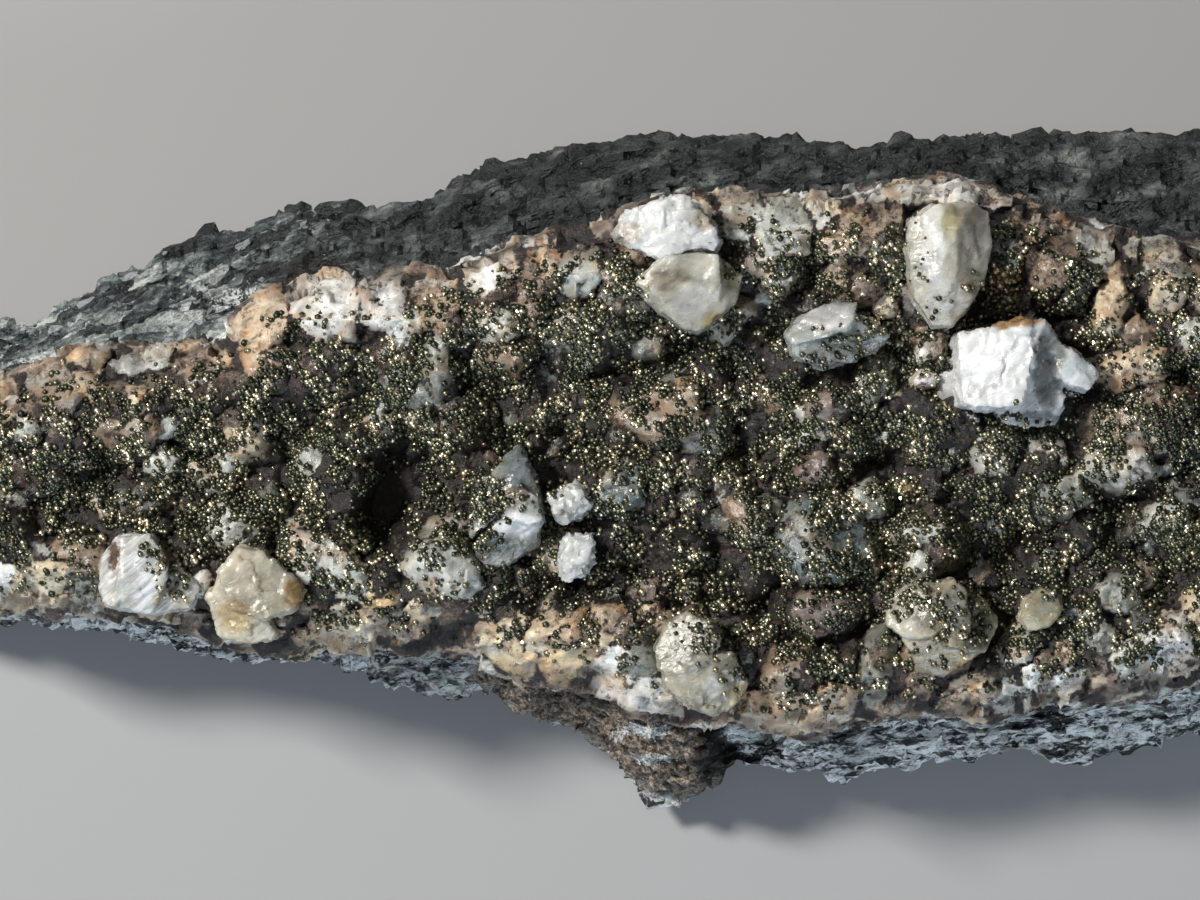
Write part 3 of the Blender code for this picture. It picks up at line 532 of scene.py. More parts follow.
rockLook = {
    "grainScale": 900.0,
    "grainLengths": (2.8, 1.0, 1.2),    # grains are drawn out along the rock's layers
    "grainTurn": (0.0, 0.0, 0.42),
    "layerScale": 1700.0,
    "flakeScale": 2600.0,
    "silverSheen": (0.93, 0.96, 0.97),
    "dark": (0.006, 0.008, 0.009),
    "slate": (0.022, 0.029, 0.032),
    "teal": (0.065, 0.085, 0.087),
    "grey": (0.15, 0.175, 0.175),
    "feldspar": (0.27, 0.30, 0.29),
    "quartz": (0.50, 0.53, 0.52),
    "mica": (0.50, 0.54, 0.58),
    "weathered": (0.20, 0.158, 0.12),
    "weatheredDark": (0.026, 0.019, 0.014),
    "whitePatch": (0.60, 0.63, 0.63),
    "sootAndShadow": (0.010, 0.008, 0.007),
    "farTonesAndShade": [(0.0, (0.003, 0.004, 0.005)), (0.35, (0.007, 0.010, 0.011)), (0.56, (0.019, 0.025, 0.027)),
                 (0.76, (0.054, 0.066, 0.066)), (1.0, (0.15, 0.17, 0.16))],
}


def gneissMaterial():
    look = rockLook
    mat, tree = newMaterial("foliatedGneiss")
    points = objectPoints(tree)
    drawn = drawnPoints(tree, look["grainLengths"], look["grainTurn"])
    weather = attribute(tree, "weathered")
    paleAndLit = attribute(tree, "paleAndLit")
    softAndShaded = attribute(tree, "softAndShaded")
    layered = attribute(tree, "layered")
    grain = cellValues(tree, cells(tree, wandering(tree, drawn, 1800.0, 0.0006), look["grainScale"]))
    bands = noiseNode(tree, drawn, 420.0, 4.0, 0.6)
    zones = noiseNode(tree, drawnPoints(tree, (2.6, 1.2, 1.0), (0.0, 0.05, 0.2)), 330.0, 3.0, 0.55)
    mid = noiseNode(tree, drawn, 1500.0, 4.0, 0.7)
    fine = noiseNode(tree, points, 5200.0, 3.0, 0.7)
    choose = weighed(tree, (grain["Red"], 0.34), (bands, 0.8), (mid, 0.8), (fine, 0.3), (paleAndLit, 0.1),
                     (layered, between(tree, zones, 0.35, 0.6, -0.1, 0.18)))
    crisp = ramp(tree, between(tree, choose, 0.99, 1.44), [
        (0.0, look["dark"]), (0.28, look["slate"]), (0.45, look["teal"]), (0.62, look["grey"]),
        (0.82, look["feldspar"]), (1.0, look["quartz"])])
    # the far side is darker, with broad dim patches: partly the rock's own darker tone, partly painted shade
    clouds = noiseNode(tree, drawnPoints(tree, (1.5, 1.0, 1.0), (0.0, 0.0, 0.1)), 480.0, 3.0, 0.5)
    cloudy = weighed(tree, (clouds, 1), (mid, 0.2))
    farShaded = ramp(tree, between(tree, cloudy, 0.48, 0.80), look["farTonesAndShade"])
    rock = mixColour(tree, times(tree, softAndShaded, 0.85), crisp, farShaded)
    flake = cellValues(tree, cells(tree, drawn, look["flakeScale"]))
    glint = times(tree, maths(tree, "GREATER_THAN", flake["Green"], 0.95),
                  times(tree, maths(tree, "SUBTRACT", 1.0, softAndShaded), 0.55))
    rock = mixColour(tree, glint, rock, look["mica"])
    # thin dark layers in the near edge, bright mica plates between them, their own light grey made brighter
    # still as a painted sheen
    sheets = drawnPoints(tree, (3.2, 1.0, 1.0), (0.0, 0.0, 0.13))
    layers = noiseNode(tree, sheets, look["layerScale"], 4.0, 0.7)
    line = times(tree, layered, between(tree, layers, 0.47, 0.42))
    silverSheen = times(tree, layered, between(tree, layers, 0.475, 0.55, 0.0, 0.95))
    silverSheen = times(tree, silverSheen, between(tree, zones, 0.34, 0.48, 0.4, 1.0))
    rock = mixColour(tree, silverSheen, rock, look["silverSheen"])
    rock = mixColour(tree, times(tree, line, 0.95), rock, look["dark"])
    # the weathered ledge: fine brown layers full of dark grains
    streaks = noiseNode(tree, drawnPoints(tree, (2.6, 1.0, 1.3), (0.0, 0.0, -0.6)), 1900.0, 5.0, 0.72)
    soil = noiseNode(tree, points, 3200.0, 3.0, 0.7)
    blend = weighed(tree, (streaks, 0.6), (soil, 0.4))
    brown = ramp(tree, between(tree, blend, 0.36, 0.64), [
        (0.0, (0.006, 0.005, 0.005)), (0.3, look["weatheredDark"]), (0.5, look["weathered"]),
        (0.75, (0.36, 0.30, 0.24)), (1.0, (0.62, 0.57, 0.50))])
    pepper = between(tree, fine, 0.50, 0.42)
    brown = mixColour(tree, times(tree, pepper, 0.75), brown, look["weatheredDark"])
    edge = added(tree, weather, between(tree, streaks, 0.2, 0.8, -0.4, 0.4))
    rock = mixColour(tree, between(tree, edge, 0.35, 0.65), rock, brown)
    # white crumbs and dark stains, with a painted shadow in the notch right of the brown ledge
    grit = noiseNode(tree, points, 3400.0, 4.0, 0.75)
    whiteEdge = added(tree, attribute(tree, "whitePatch"), between(tree, grit, 0.25, 0.75, -0.7, 0.7))
    whites = times(tree, between(tree, whiteEdge, 0.5, 0.62), between(tree, fine, 0.42, 0.50, 0.25, 1.0))
    rock = mixColour(tree, whites, rock, look["whitePatch"])
    sootAndShadow = added(tree, attribute(tree, "sootAndShadow"), between(tree, soil, 0.2, 0.8, -0.4, 0.4))
    rock = mixColour(tree, between(tree, sootAndShadow, 0.3, 0.6, 0.0, 0.92), rock, look["sootAndShadow"])
    rough = between(tree, flake["Blue"], 0.0, 1.0, 0.34, 0.62)
    height = weighed(tree, (fine, 0.5), (mid, 1.6), (grain["Red"], 0.5), (times(tree, layers, layered), 2.0),
                     (times(tree, blend, weather), 2.2))
    giveShader(tree, {
        "Base Color": rock,
        "Roughness": mixValue(tree, glint, rough, 0.2),
        "Normal": bumpOf(tree, height, 0.8, 0.0004),
    })
    return mat


pyriteLook = {
    "tarnished": (0.065, 0.071, 0.050),
    "olive": (0.15, 0.155, 0.108),
    "brassy": (0.36, 0.33, 0.225),
    "bright": (0.98, 0.87, 0.67),
    "patchScale": 330.0,     # darker and brighter areas of the druse
    "wornScale": 6000.0,
}


def pyriteMaterial():
    look = pyriteLook
    mat, tree = newMaterial("brassyPyrite")
    patch = noiseNode(tree, objectPoints(tree), look["patchScale"], 3.0, 0.6)
    tone = added(tree, attribute(tree, "grainTone"), between(tree, patch, 0.36, 0.64, -0.30, 0.12))
    colour = ramp(tree, tone, [(0.0, look["tarnished"]), (0.55, look["olive"]), (0.78, look["brassy"]),
                               (0.86, look["bright"]), (1.0, look["bright"])])
    worn = noiseNode(tree, objectPoints(tree), look["wornScale"], 3.0, 0.6)
    rough = added(tree, between(tree, worn, 0.3, 0.7, -0.05, 0.08),
                  between(tree, tone, 0.76, 0.88, 0.44, 0.36))
    giveShader(tree, {"Base Color": colour, "Metallic": 1.0, "Roughness": rough})
    return mat


# the crust of calcite lumps grown together

crustPlan = {
    "step": 0.17,            # grid of the crust's surface, mm
    "spanX": (-46.0, 48.0),
    "spanY": (-17.8, 17.0),
    "wallRows": 13,          # rows of its broken edge
    "floor": 13.6,           # its underside
    "edgeTop": 15.9,         # height where the surface meets the broken edge
    "troughTop": 17.0,       # height of the ground in the trough
    "rimHeight": 2.1,        # how far the rim swells over that, how far in, and how broad
    "rimInside": 2.6,
    "rimWidth": 2.1,
    "pitFloor": 14.9,        # no hollow goes deeper
    "bumps": [(0.5, 4.5, 1.0), (0.55, 2.6, 3.0), (0.3, 1.2, 8.0)],   # height, size, seed
    "lumps": 1500,           # small crystals grown into it
    "smallLump": (0.35, 1.0),
    "largeLump": (0.85, 1.7),
    "largeShare": 0.34,
}
rimColours = ("peach", "tan", "cream", "brown", "paleGrey", "tan", "white", "pinkGrey", "grey")
troughColours = ("brown", "brown", "dark", "tan", "grey", "pinkGrey", "brown", "blueGrey", "dark")
lumpColours = ("grey", "paleGrey", "paleGrey", "pinkGrey", "brown", "tan", "grey")
wallColours = ("cream", "white", "paleGrey", "peach", "tan", "brown", "pinkGrey", "tan", "grey", "brown")

# broad forms as (x, y, half length, half width, height), the same as the solid's
swells = [
    (-32.1, 4.2, 1.6, 1.0, 1.0), (-25.2, 4.6, 3.2, 1.0, 0.8), (-9.6, 8.2, 1.2, 1.4, 1.0),
    (-6.4, 10.0, 1.4, 1.2, 0.9), (-3.0, 10.6, 1.6, 1.3, 1.1), (12.0, 13.6, 3.2, 0.9, 0.8),
    (9.7, 11.0, 1.7, 1.0, 0.9), (15.2, 12.4, 1.6, 1.4, 1.1), (15.6, 9.4, 1.5, 1.2, 0.9),
    (26.3, 11.0, 2.0, 1.6, 1.3), (32.7, 1.8, 3.3, 2.2, 1.9), (23.4, -0.6, 1.4, 1.1, 0.9),
    (27.6, -2.7, 1.6, 1.4, 1.1), (19.3, -5.4, 1.5, 1.0, 1.3), (19.3, -7.0, 1.0, 1.2, 1.0),
    (3.0, -8.7, 1.3, 1.0, 0.9), (13.2, -5.2, 3.2, 2.4, 1.9), (-9.2, -7.2, 2.4, 1.8, 1.7),
    (-16.6, -6.4, 3.0, 1.9, 1.6), (-21.3, 0.6, 1.4, 1.2, 1.2), (5.4, 3.0, 1.0, 1.4, 1.0),
    (3.9, 1.9, 2.8, 1.9, 1.4), (13.5, 2.2, 1.5, 1.3, 1.0), (13.2, -1.2, 1.5, 1.2, 0.9),
    (-9.9, 5.2, 1.3, 1.9, 1.1), (-5.7, 6.2, 1.6, 1.4, 1.2), (-0.8, 7.4, 2.6, 1.5, 1.1),
    (-13.2, 1.5, 1.2, 1.1, 0.8), (1.2, -2.4, 1.4, 1.5, 1.1), (-28.0, 1.4, 2.4, 1.8, 1.2),
    (-34.0, -1.0, 2.6, 2.0, 1.3), (-27.0, -2.8, 2.2, 1.7, 1.0), (-21.4, -3.2, 2.0, 1.6, 1.1),
    (-39.4, 0.4, 2.2, 1.8, 1.2), (38.6, 4.6, 2.6, 2.2, 1.4), (41.6, -4.0, 2.4, 2.0, 1.3),
    (36.4, -6.2, 2.2, 1.8, 1.2), (31.0, -8.6, 1.8, 1.6, 1.1), (-17.4, 4.4, 2.0, 1.4, 1.0),
    (8.0, -3.4, 1.8, 1.5, 0.9), (20.0, 1.0, 1.6, 1.4, 0.9),
]
hollows = [
    (-12.7, -2.9, 2.2, 3.6, 3.0), (1.0, 4.9, 1.5, 1.3, 1.3), (6.4, 5.4, 1.9, 1.2, 1.6),
    (10.4, -8.7, 1.5, 1.8, 2.0), (15.2, -10.6, 1.1, 1.4, 1.4), (25.3, -5.6, 1.4, 1.6, 2.0),
    (23.6, -8.2, 1.1, 1.3, 1.3), (28.2, 7.4, 1.3, 1.8, 2.0), (31.4, -3.6, 1.6, 1.0, 1.5),
    (17.0, -0.8, 1.6, 1.5, 1.5), (-2.2, -9.0, 1.4, 1.1, 1.3), (9.0, 0.6, 1.6, 1.8, 1.2),
    (-24.0, -5.2, 1.6, 1.2, 1.0), (-31.0, -4.8, 1.8, 1.2, 1.1), (-1.6, 0.4, 1.6, 1.4, 1.2),
    (39.4, -0.4, 1.8, 1.4, 1.4),
]

# crystals grown into the crust: x, y, half length, half width, turn, top (a height over 10 counts from the
# rest face, a smaller one from the crust round it), colour, share of pyrite, brown coat
grownIn = [
    (-35.4, -6.9, 2.3, 2.0, 20, 19.2, "white", 0.1, 0.1),
    (-33.2, -8.0, 2.4, 1.5, 5, 19.7, "cream", 0.05, 0.0),
    (-41.0, -5.0, 2.6, 2.1, 60, 19.1, "cream", 0.3, 0.2), (-42.0, 0.6, 2.3, 1.7, 80, 18.8, "tan", 0.5, 0.3),
    (-32.1, 5.0, 1.2, 0.9, 0, 1.0, "cream", 0.05, 0.1),
    (-28.6, 4.7, 1.6, 0.7, 10, 0.6, "paleGrey", 0.2, 0.1),
    (-25.6, 5.0, 1.8, 0.8, -5, 0.7, "paleGrey", 0.2, 0.1),
    (-23.0, 5.3, 1.2, 0.8, 20, 0.7, "peach", 0.4, 0.2),
    (-20.4, 7.7, 1.9, 1.7, 30, 20.4, "peach", 0.15, 0.15),
    (-20.0, 5.6, 1.5, 1.2, 10, 1.0, "peach", 0.35, 0.1),
    (-16.2, 8.4, 1.75, 1.75, 0, 20.8, "white", 0.02, 0.0),
    (-13.3, 8.5, 1.6, 1.35, 160, 20.2, "white", 0.05, 0.0),
    (-11.4, 7.6, 1.3, 1.0, 30, 1.0, "paleGrey", 0.4, 0.0), (-9.7, 8.4, 1.0, 1.3, 0, 1.0, "peach", 0.2, 0.4),
    (-6.6, 10.2, 1.2, 0.9, 30, 0.9, "white", 0.25, 0.0), (-5.2, 11.2, 1.2, 0.9, 0, 0.9, "cream", 0.2, 0.1),
    (-3.2, 10.8, 1.3, 1.2, 0, 19.6, "peach", 0.55, 0.4),
    (-1.3, 10.4, 1.4, 1.2, 25, 19.8, "paleGrey", 0.3, 0.0),
    (1.0, 10.2, 1.0, 0.8, 0, 0.7, "pinkGrey", 0.4, 0.2),
    (9.2, 13.3, 1.6, 1.3, 10, 20.1, "paleGrey", 0.15, 0.3),
    (11.0, 14.1, 1.6, 0.7, 5, 0.8, "cream", 0.1, 0.1), (13.4, 13.9, 1.5, 0.8, -5, 0.8, "cream", 0.15, 0.2),
    (9.7, 11.2, 1.6, 0.8, -10, 0.9, "pinkGrey", 0.2, 0.1),
    (15.0, 12.9, 1.3, 1.3, 0, 1.0, "peach", 0.5, 0.4), (17.1, 13.2, 1.0, 1.2, 0, 0.9, "tan", 0.4, 0.4),
    (15.3, 9.9, 1.3, 1.1, 40, 0.9, "pinkGrey", 0.15, 0.1), (16.9, 8.7, 0.8, 0.8, 0, 0.9, "cream", 0.1, 0.0),
    (17.8, 14.9, 2.3, 0.7, 8, 1.4, "paleGrey", 0.0, 0.0),
    (21.9, 15.3, 2.2, 0.7, -4, 1.5, "white", 0.0, 0.1), (19.3, 5.8, 0.5, 0.35, 70, 1.9, "white", 0.0, 0.0),
    (19.4, 4.2, 0.6, 0.4, 10, 1.8, "white", 0.0, 0.0), (25.2, 12.4, 1.7, 1.3, 0, 1.0, "peach", 0.2, 0.45),
    (27.2, 10.8, 1.6, 1.3, 30, 1.0, "tan", 0.2, 0.4), (25.0, 9.4, 1.3, 1.0, 0, 0.8, "brown", 0.4, 0.6),
    (29.2, 11.4, 1.3, 1.3, 15, 19.9, "paleGrey", 0.05, 0.0),
    (30.5, 8.8, 1.1, 1.9, -10, 20.3, "cream", 0.05, 0.1), (31.9, 6.9, 1.2, 1.0, 10, 19.8, "tan", 0.0, 0.0),
    (32.1, 5.2, 2.0, 1.2, 15, 20.4, "peach", 0.0, 0.05), (34.0, 9.4, 1.2, 1.0, 40, 20.0, "cream", 0.1, 0.0),
    (33.2, 8.2, 0.9, 0.8, 0, 0.9, "white", 0.0, 0.0), (35.8, 6.8, 1.5, 1.5, 0, 19.8, "paleGrey", 0.35, 0.0),
    (36.6, 9.2, 1.6, 1.1, -20, 1.1, "tan", 0.3, 0.2), (32.7, 1.8, 3.4, 2.3, 5, 1.3, "tan", 0.75, 0.2),
    (31.0, -0.9, 2.3, 1.2, 10, 19.8, "paleGrey", 0.05, 0.0),
    (29.6, 0.2, 1.1, 0.9, 0, 0.9, "cream", 0.2, 0.0),
    (23.5, -0.6, 1.2, 0.9, -20, 0.9, "paleGrey", 0.2, 0.1),
    (27.6, -2.7, 1.5, 1.1, 15, 1.0, "grey", 0.15, 0.0),
    (25.6, -1.6, 0.9, 0.7, 0, 0.7, "paleGrey", 0.4, 0.0),
    (19.4, -5.0, 1.5, 0.6, 3, 1.3, "paleGrey", 0.1, 0.0),
    (19.1, -6.8, 0.6, 1.4, -8, 1.2, "paleGrey", 0.05, 0.0),
    (16.5, -12.9, 1.0, 2.0, -10, 19.8, "grey", 0.35, 0.1),
    (12.0, -15.2, 2.9, 1.4, 4, 20.1, "peach", 0.2, 0.1),
    (9.5, -15.4, 1.3, 0.9, 15, 1.1, "white", 0.05, 0.0), (14.4, -15.8, 1.6, 0.9, -8, 1.0, "tan", 0.3, 0.2),
    (2.2, -14.2, 2.1, 1.3, 150, 19.8, "white", 0.05, 0.1),
    (1.0, -12.6, 1.5, 1.1, 20, 19.6, "white", 0.1, 0.2),
    (-2.6, -10.9, 1.5, 1.3, 30, 20.3, "peach", 0.1, 0.3),
    (-4.9, -12.0, 1.5, 1.0, 15, 19.6, "yellow", 0.0, 0.1),
    (-1.9, -12.2, 1.6, 1.0, 170, 19.9, "yellow", 0.0, 0.05),
    (-3.4, -11.4, 1.0, 0.9, 0, 20.0, "cream", 0.0, 0.1),
    (-0.2, -11.7, 1.2, 0.9, 30, 19.7, "cream", 0.05, 0.2),
    (-15.8, -2.4, 1.5, 2.9, -14, 19.3, "dark", 1.2, 0.9),
    (-15.4, 0.6, 1.5, 1.0, 10, 18.9, "brown", 1.0, 0.7),
    (-24.6, -6.2, 1.3, 1.5, 20, 19.0, "dark", 1.2, 0.8),
    (-5.8, -11.2, 1.9, 1.5, 20, 19.8, "cream", 0.15, 0.2),
    (-3.6, -12.8, 1.6, 0.8, 0, 0.8, "yellow", 0.0, 0.1),
    (0.4, -10.4, 1.4, 1.1, 20, 1.0, "peach", 0.25, 0.35),
    (3.2, -10.2, 1.3, 1.2, -15, 1.0, "peach", 0.2, 0.45),
    (3.0, -8.4, 1.3, 0.7, 25, 0.7, "pinkGrey", 0.3, 0.4),
    (13.2, -9.6, 2.2, 1.3, 8, 20.1, "pinkGrey", 0.25, 0.1),
    (13.2, -5.4, 3.3, 2.6, 5, 1.2, "blueGrey", 0.7, 0.0),
    (-9.2, -7.2, 2.5, 1.8, -20, 1.4, "paleGrey", 0.35, 0.0),
    (-16.4, -6.9, 3.1, 1.8, -28, 1.3, "paleGrey", 0.4, 0.0),
    (-17.2, -5.2, 2.2, 1.3, -20, 1.0, "tan", 0.9, 0.1),
    (-13.4, -8.5, 1.4, 1.0, -20, 19.6, "yellow", 0.1, 0.0),
    (-10.6, -9.3, 1.1, 0.9, 10, 19.3, "cream", 0.15, 0.1),
    (-12.0, -10.3, 1.6, 0.9, 5, 0.8, "tan", 0.3, 0.2),
    (-15.4, -10.4, 1.8, 1.1, 175, 19.4, "cream", 0.5, 0.1),
    (-17.6, -11.0, 1.2, 0.7, 0, 0.7, "peach", 0.1, 0.2),
    (-21.3, 0.6, 1.1, 0.8, -30, 1.2, "cream", 0.05, 0.1), (5.4, 2.9, 0.6, 1.1, 8, 1.1, "peach", 0.1, 0.05),
    (3.7, 1.9, 2.7, 1.8, -5, 1.1, "tan", 0.6, 0.2), (2.4, 3.3, 1.3, 0.8, 10, 0.8, "grey", 0.4, 0.1),
    (13.5, 2.4, 1.2, 1.0, 20, 1.0, "pinkGrey", 0.3, 0.1),
    (13.0, -1.4, 1.2, 1.0, 0, 0.9, "pinkGrey", 0.2, 0.0), (-9.9, 5.3, 0.9, 1.9, 5, 1.1, "grey", 0.35, 0.0),
    (-5.7, 6.3, 1.5, 1.3, 10, 1.3, "tan", 0.75, 0.3), (-0.8, 7.5, 2.8, 1.5, 5, 1.0, "grey", 0.6, 0.1),
    (2.8, 6.4, 1.2, 0.9, 0, 0.8, "grey", 0.6, 0.2), (-13.2, 1.5, 1.0, 0.9, 15, 0.9, "grey", 0.2, 0.1),
    (1.3, -2.4, 1.2, 1.4, 0, 1.0, "blueGrey", 0.4, 0.0), (-16.0, 4.0, 1.3, 1.0, 0, 0.8, "tan", 0.8, 0.2),
    (7.2, 7.4, 0.8, 0.9, 0, 0.8, "paleGrey", 0.3, 0.0), (8.6, 8.6, 1.0, 0.7, 0, 0.7, "tan", 0.2, 0.2),
    (22.0, 3.6, 0.7, 0.7, 0, 0.7, "paleGrey", 0.4, 0.2), (-28.0, 1.4, 2.2, 1.5, 0, 0.8, "tan", 0.9, 0.2),
    (-34.0, -1.0, 2.2, 1.6, 0, 0.8, "brown", 0.9, 0.3), (-33.6, 2.4, 1.6, 1.1, 0, 0.8, "tan", 0.6, 0.4),
    (-36.0, 1.6, 1.4, 1.0, 20, 0.7, "peach", 0.4, 0.4), (-28.3, -6.4, 1.7, 1.0, 20, 0.7, "rust", 0.4, 0.2),
    (-31.4, -6.0, 1.6, 1.0, 0, 0.7, "tan", 0.9, 0.1), (38.6, 4.6, 2.4, 1.9, 0, 1.0, "tan", 0.6, 0.3),
    (43.2, 3.2, 2.4, 2.0, 100, 19.7, "cream", 0.2, 0.1),
    (40.4, 8.0, 2.2, 1.6, 150, 19.6, "peach", 0.2, 0.2),
    (41.6, -4.0, 2.3, 1.7, 10, 1.0, "paleGrey", 0.3, 0.2),
    (35.4, -3.2, 1.6, 1.3, 0, 1.0, "blueGrey", 0.6, 0.0), (33.2, -4.6, 1.2, 1.0, 0, 0.8, "grey", 0.7, 0.1),
    (31.0, -8.6, 1.5, 1.2, 0, 0.9, "grey", 0.5, 0.1), (37.4, -10.4, 2.6, 1.8, 160, 19.9, "cream", 0.1, 0.2),
    (32.4, -12.2, 2.2, 1.5, 10, 19.5, "paleGrey", 0.3, 0.1),
    (27.2, -13.2, 2.0, 1.2, 0, 19.3, "white", 0.15, 0.1),
    (25.0, -11.9, 1.4, 1.0, 30, 0.9, "paleGrey", 0.3, 0.2),
    (29.8, -11.2, 1.4, 1.0, -20, 0.9, "grey", 0.4, 0.1), (22.6, -14.2, 1.4, 0.9, 0, 0.8, "tan", 0.3, 0.3),
    (18.2, -14.6, 1.3, 0.8, 10, 0.8, "brown", 0.3, 0.3),
]

# where the pyrite lies: x, y, half length, half width, amount
pyriteSpots = [
    (-30.0, -1.5, 12.0, 5.0, 0.62), (-14.0, 1.0, 9.0, 5.5, 0.55), (0.0, 2.5, 9.0, 6.5, 0.6),
    (9.0, 0.0, 10.0, 7.0, 0.6), (22.0, -3.0, 9.0, 5.5, 0.6), (34.0, -5.0, 8.0, 5.0, 0.6),
    (19.0, -8.0, 4.0, 3.0, 0.4), (10.0, -9.5, 5.0, 2.5, 0.3), (-6.0, -5.5, 3.5, 2.6, 0.35),
    (32.5, 2.0, 3.4, 2.4, 0.5), (12.5, 10.5, 4.0, 2.6, 0.35), (-3.0, 9.5, 5.0, 2.2, 0.35),
    (-17.0, -4.8, 3.0, 1.6, 0.5), (17.0, 3.0, 4.0, 3.0, 0.45), (-22.0, 3.0, 8.0, 2.4, 0.3),
    (-38.0, 0.0, 5.0, 4.0, 0.4), (41.0, -1.0, 5.0, 6.0, 0.4),
]
bareSpots = [
    (-33.0, -8.4, 5.0, 1.6, 0.9), (-3.0, -12.0, 6.0, 1.8, 0.6), (12.0, -15.6, 4.0, 1.3, 0.5),
    (31.5, 7.5, 3.0, 4.0, 0.7), (-14.5, 9.2, 3.4, 1.6, 0.6), (2.0, -14.6, 3.0, 1.4, 0.7),
    (-1.6, -4.6, 1.4, 2.6, 0.5), (26.0, 12.0, 3.0, 2.4, 0.4), (31.0, -1.2, 2.2, 1.0, 0.6),
]


def bumps(x, y, height, size, seed):
    flat = [noise.noise(Vector((a / size, b / size, seed))) for a, b in zip(x.ravel(), y.ravel())]
    return height * np.array(flat).reshape(x.shape)


def groundHeight(x, y, inside):
    plan = crustPlan
    rim = plan["rimHeight"] * np.exp(-((inside - plan["rimInside"]) / plan["rimWidth"]) ** 2)
    z = plan["edgeTop"] + (plan["troughTop"] - plan["edgeTop"]) * ease(0.0, 4.0, inside)
    z = z + rim * ease(0.0, 1.6, inside) + blobs(x, y, swells) - 1.1 * blobs(x, y, hollows)
    for height, size, seed in plan["bumps"]:
        z = z + bumps(x, y, height, size, seed)
    return z


# one crystal's surface: the lowest of a few steep sides and gentle top faces
def crystalSurface(dx, dy, length, width, turn, top, rand, crisp):
    a = math.radians(turn)
    u = (dx * math.cos(a) + dy * math.sin(a)) / length
    v = (-dx * math.sin(a) + dy * math.cos(a)) / width
    size = math.sqrt(length * width)
    faces = []
    sides = rand.choice((5, 6, 6, 7))
    first = rand.uniform(0, 2 * math.pi)
    for n in range(sides):
        angle = first + 2 * math.pi * (n + rand.uniform(-0.22, 0.22)) / sides
        starts = rand.uniform(0.62, 0.9)
        steep = size * rand.uniform(1.5, 3.0)
        faces.append(top + steep * (starts - (u * math.cos(angle) + v * math.sin(angle))))
    first = rand.uniform(0, 2 * math.pi)
    for n in range(rand.choice((2, 3, 3))):
        angle = first + 2.1 * n + rand.uniform(-0.4, 0.4)
        slope = size * rand.uniform(0.08, 0.55)
        faces.append(top - slope * (u * math.cos(angle) + v * math.sin(angle) + rand.uniform(-0.1, 0.3)))
    stack = np.stack(faces)
    lowest = stack.min(axis=0)
    rounded = lowest - np.log(np.exp(-crisp * (stack - lowest)).sum(axis=0)) / crisp
    return rounded - 0.14 * size * (u * u + v * v)


# mean height of the square of points round each one
def blurred(z, reach):
    padded = np.pad(z, reach, mode="edge")
    sums = np.cumsum(np.cumsum(padded, axis=0), axis=1)
    sums = np.pad(sums, ((1, 0), (1, 0)))
    w = 2 * reach + 1
    return (sums[w:, w:] - sums[:-w, w:] - sums[w:, :-w] + sums[:-w, :-w]) / (w * w)


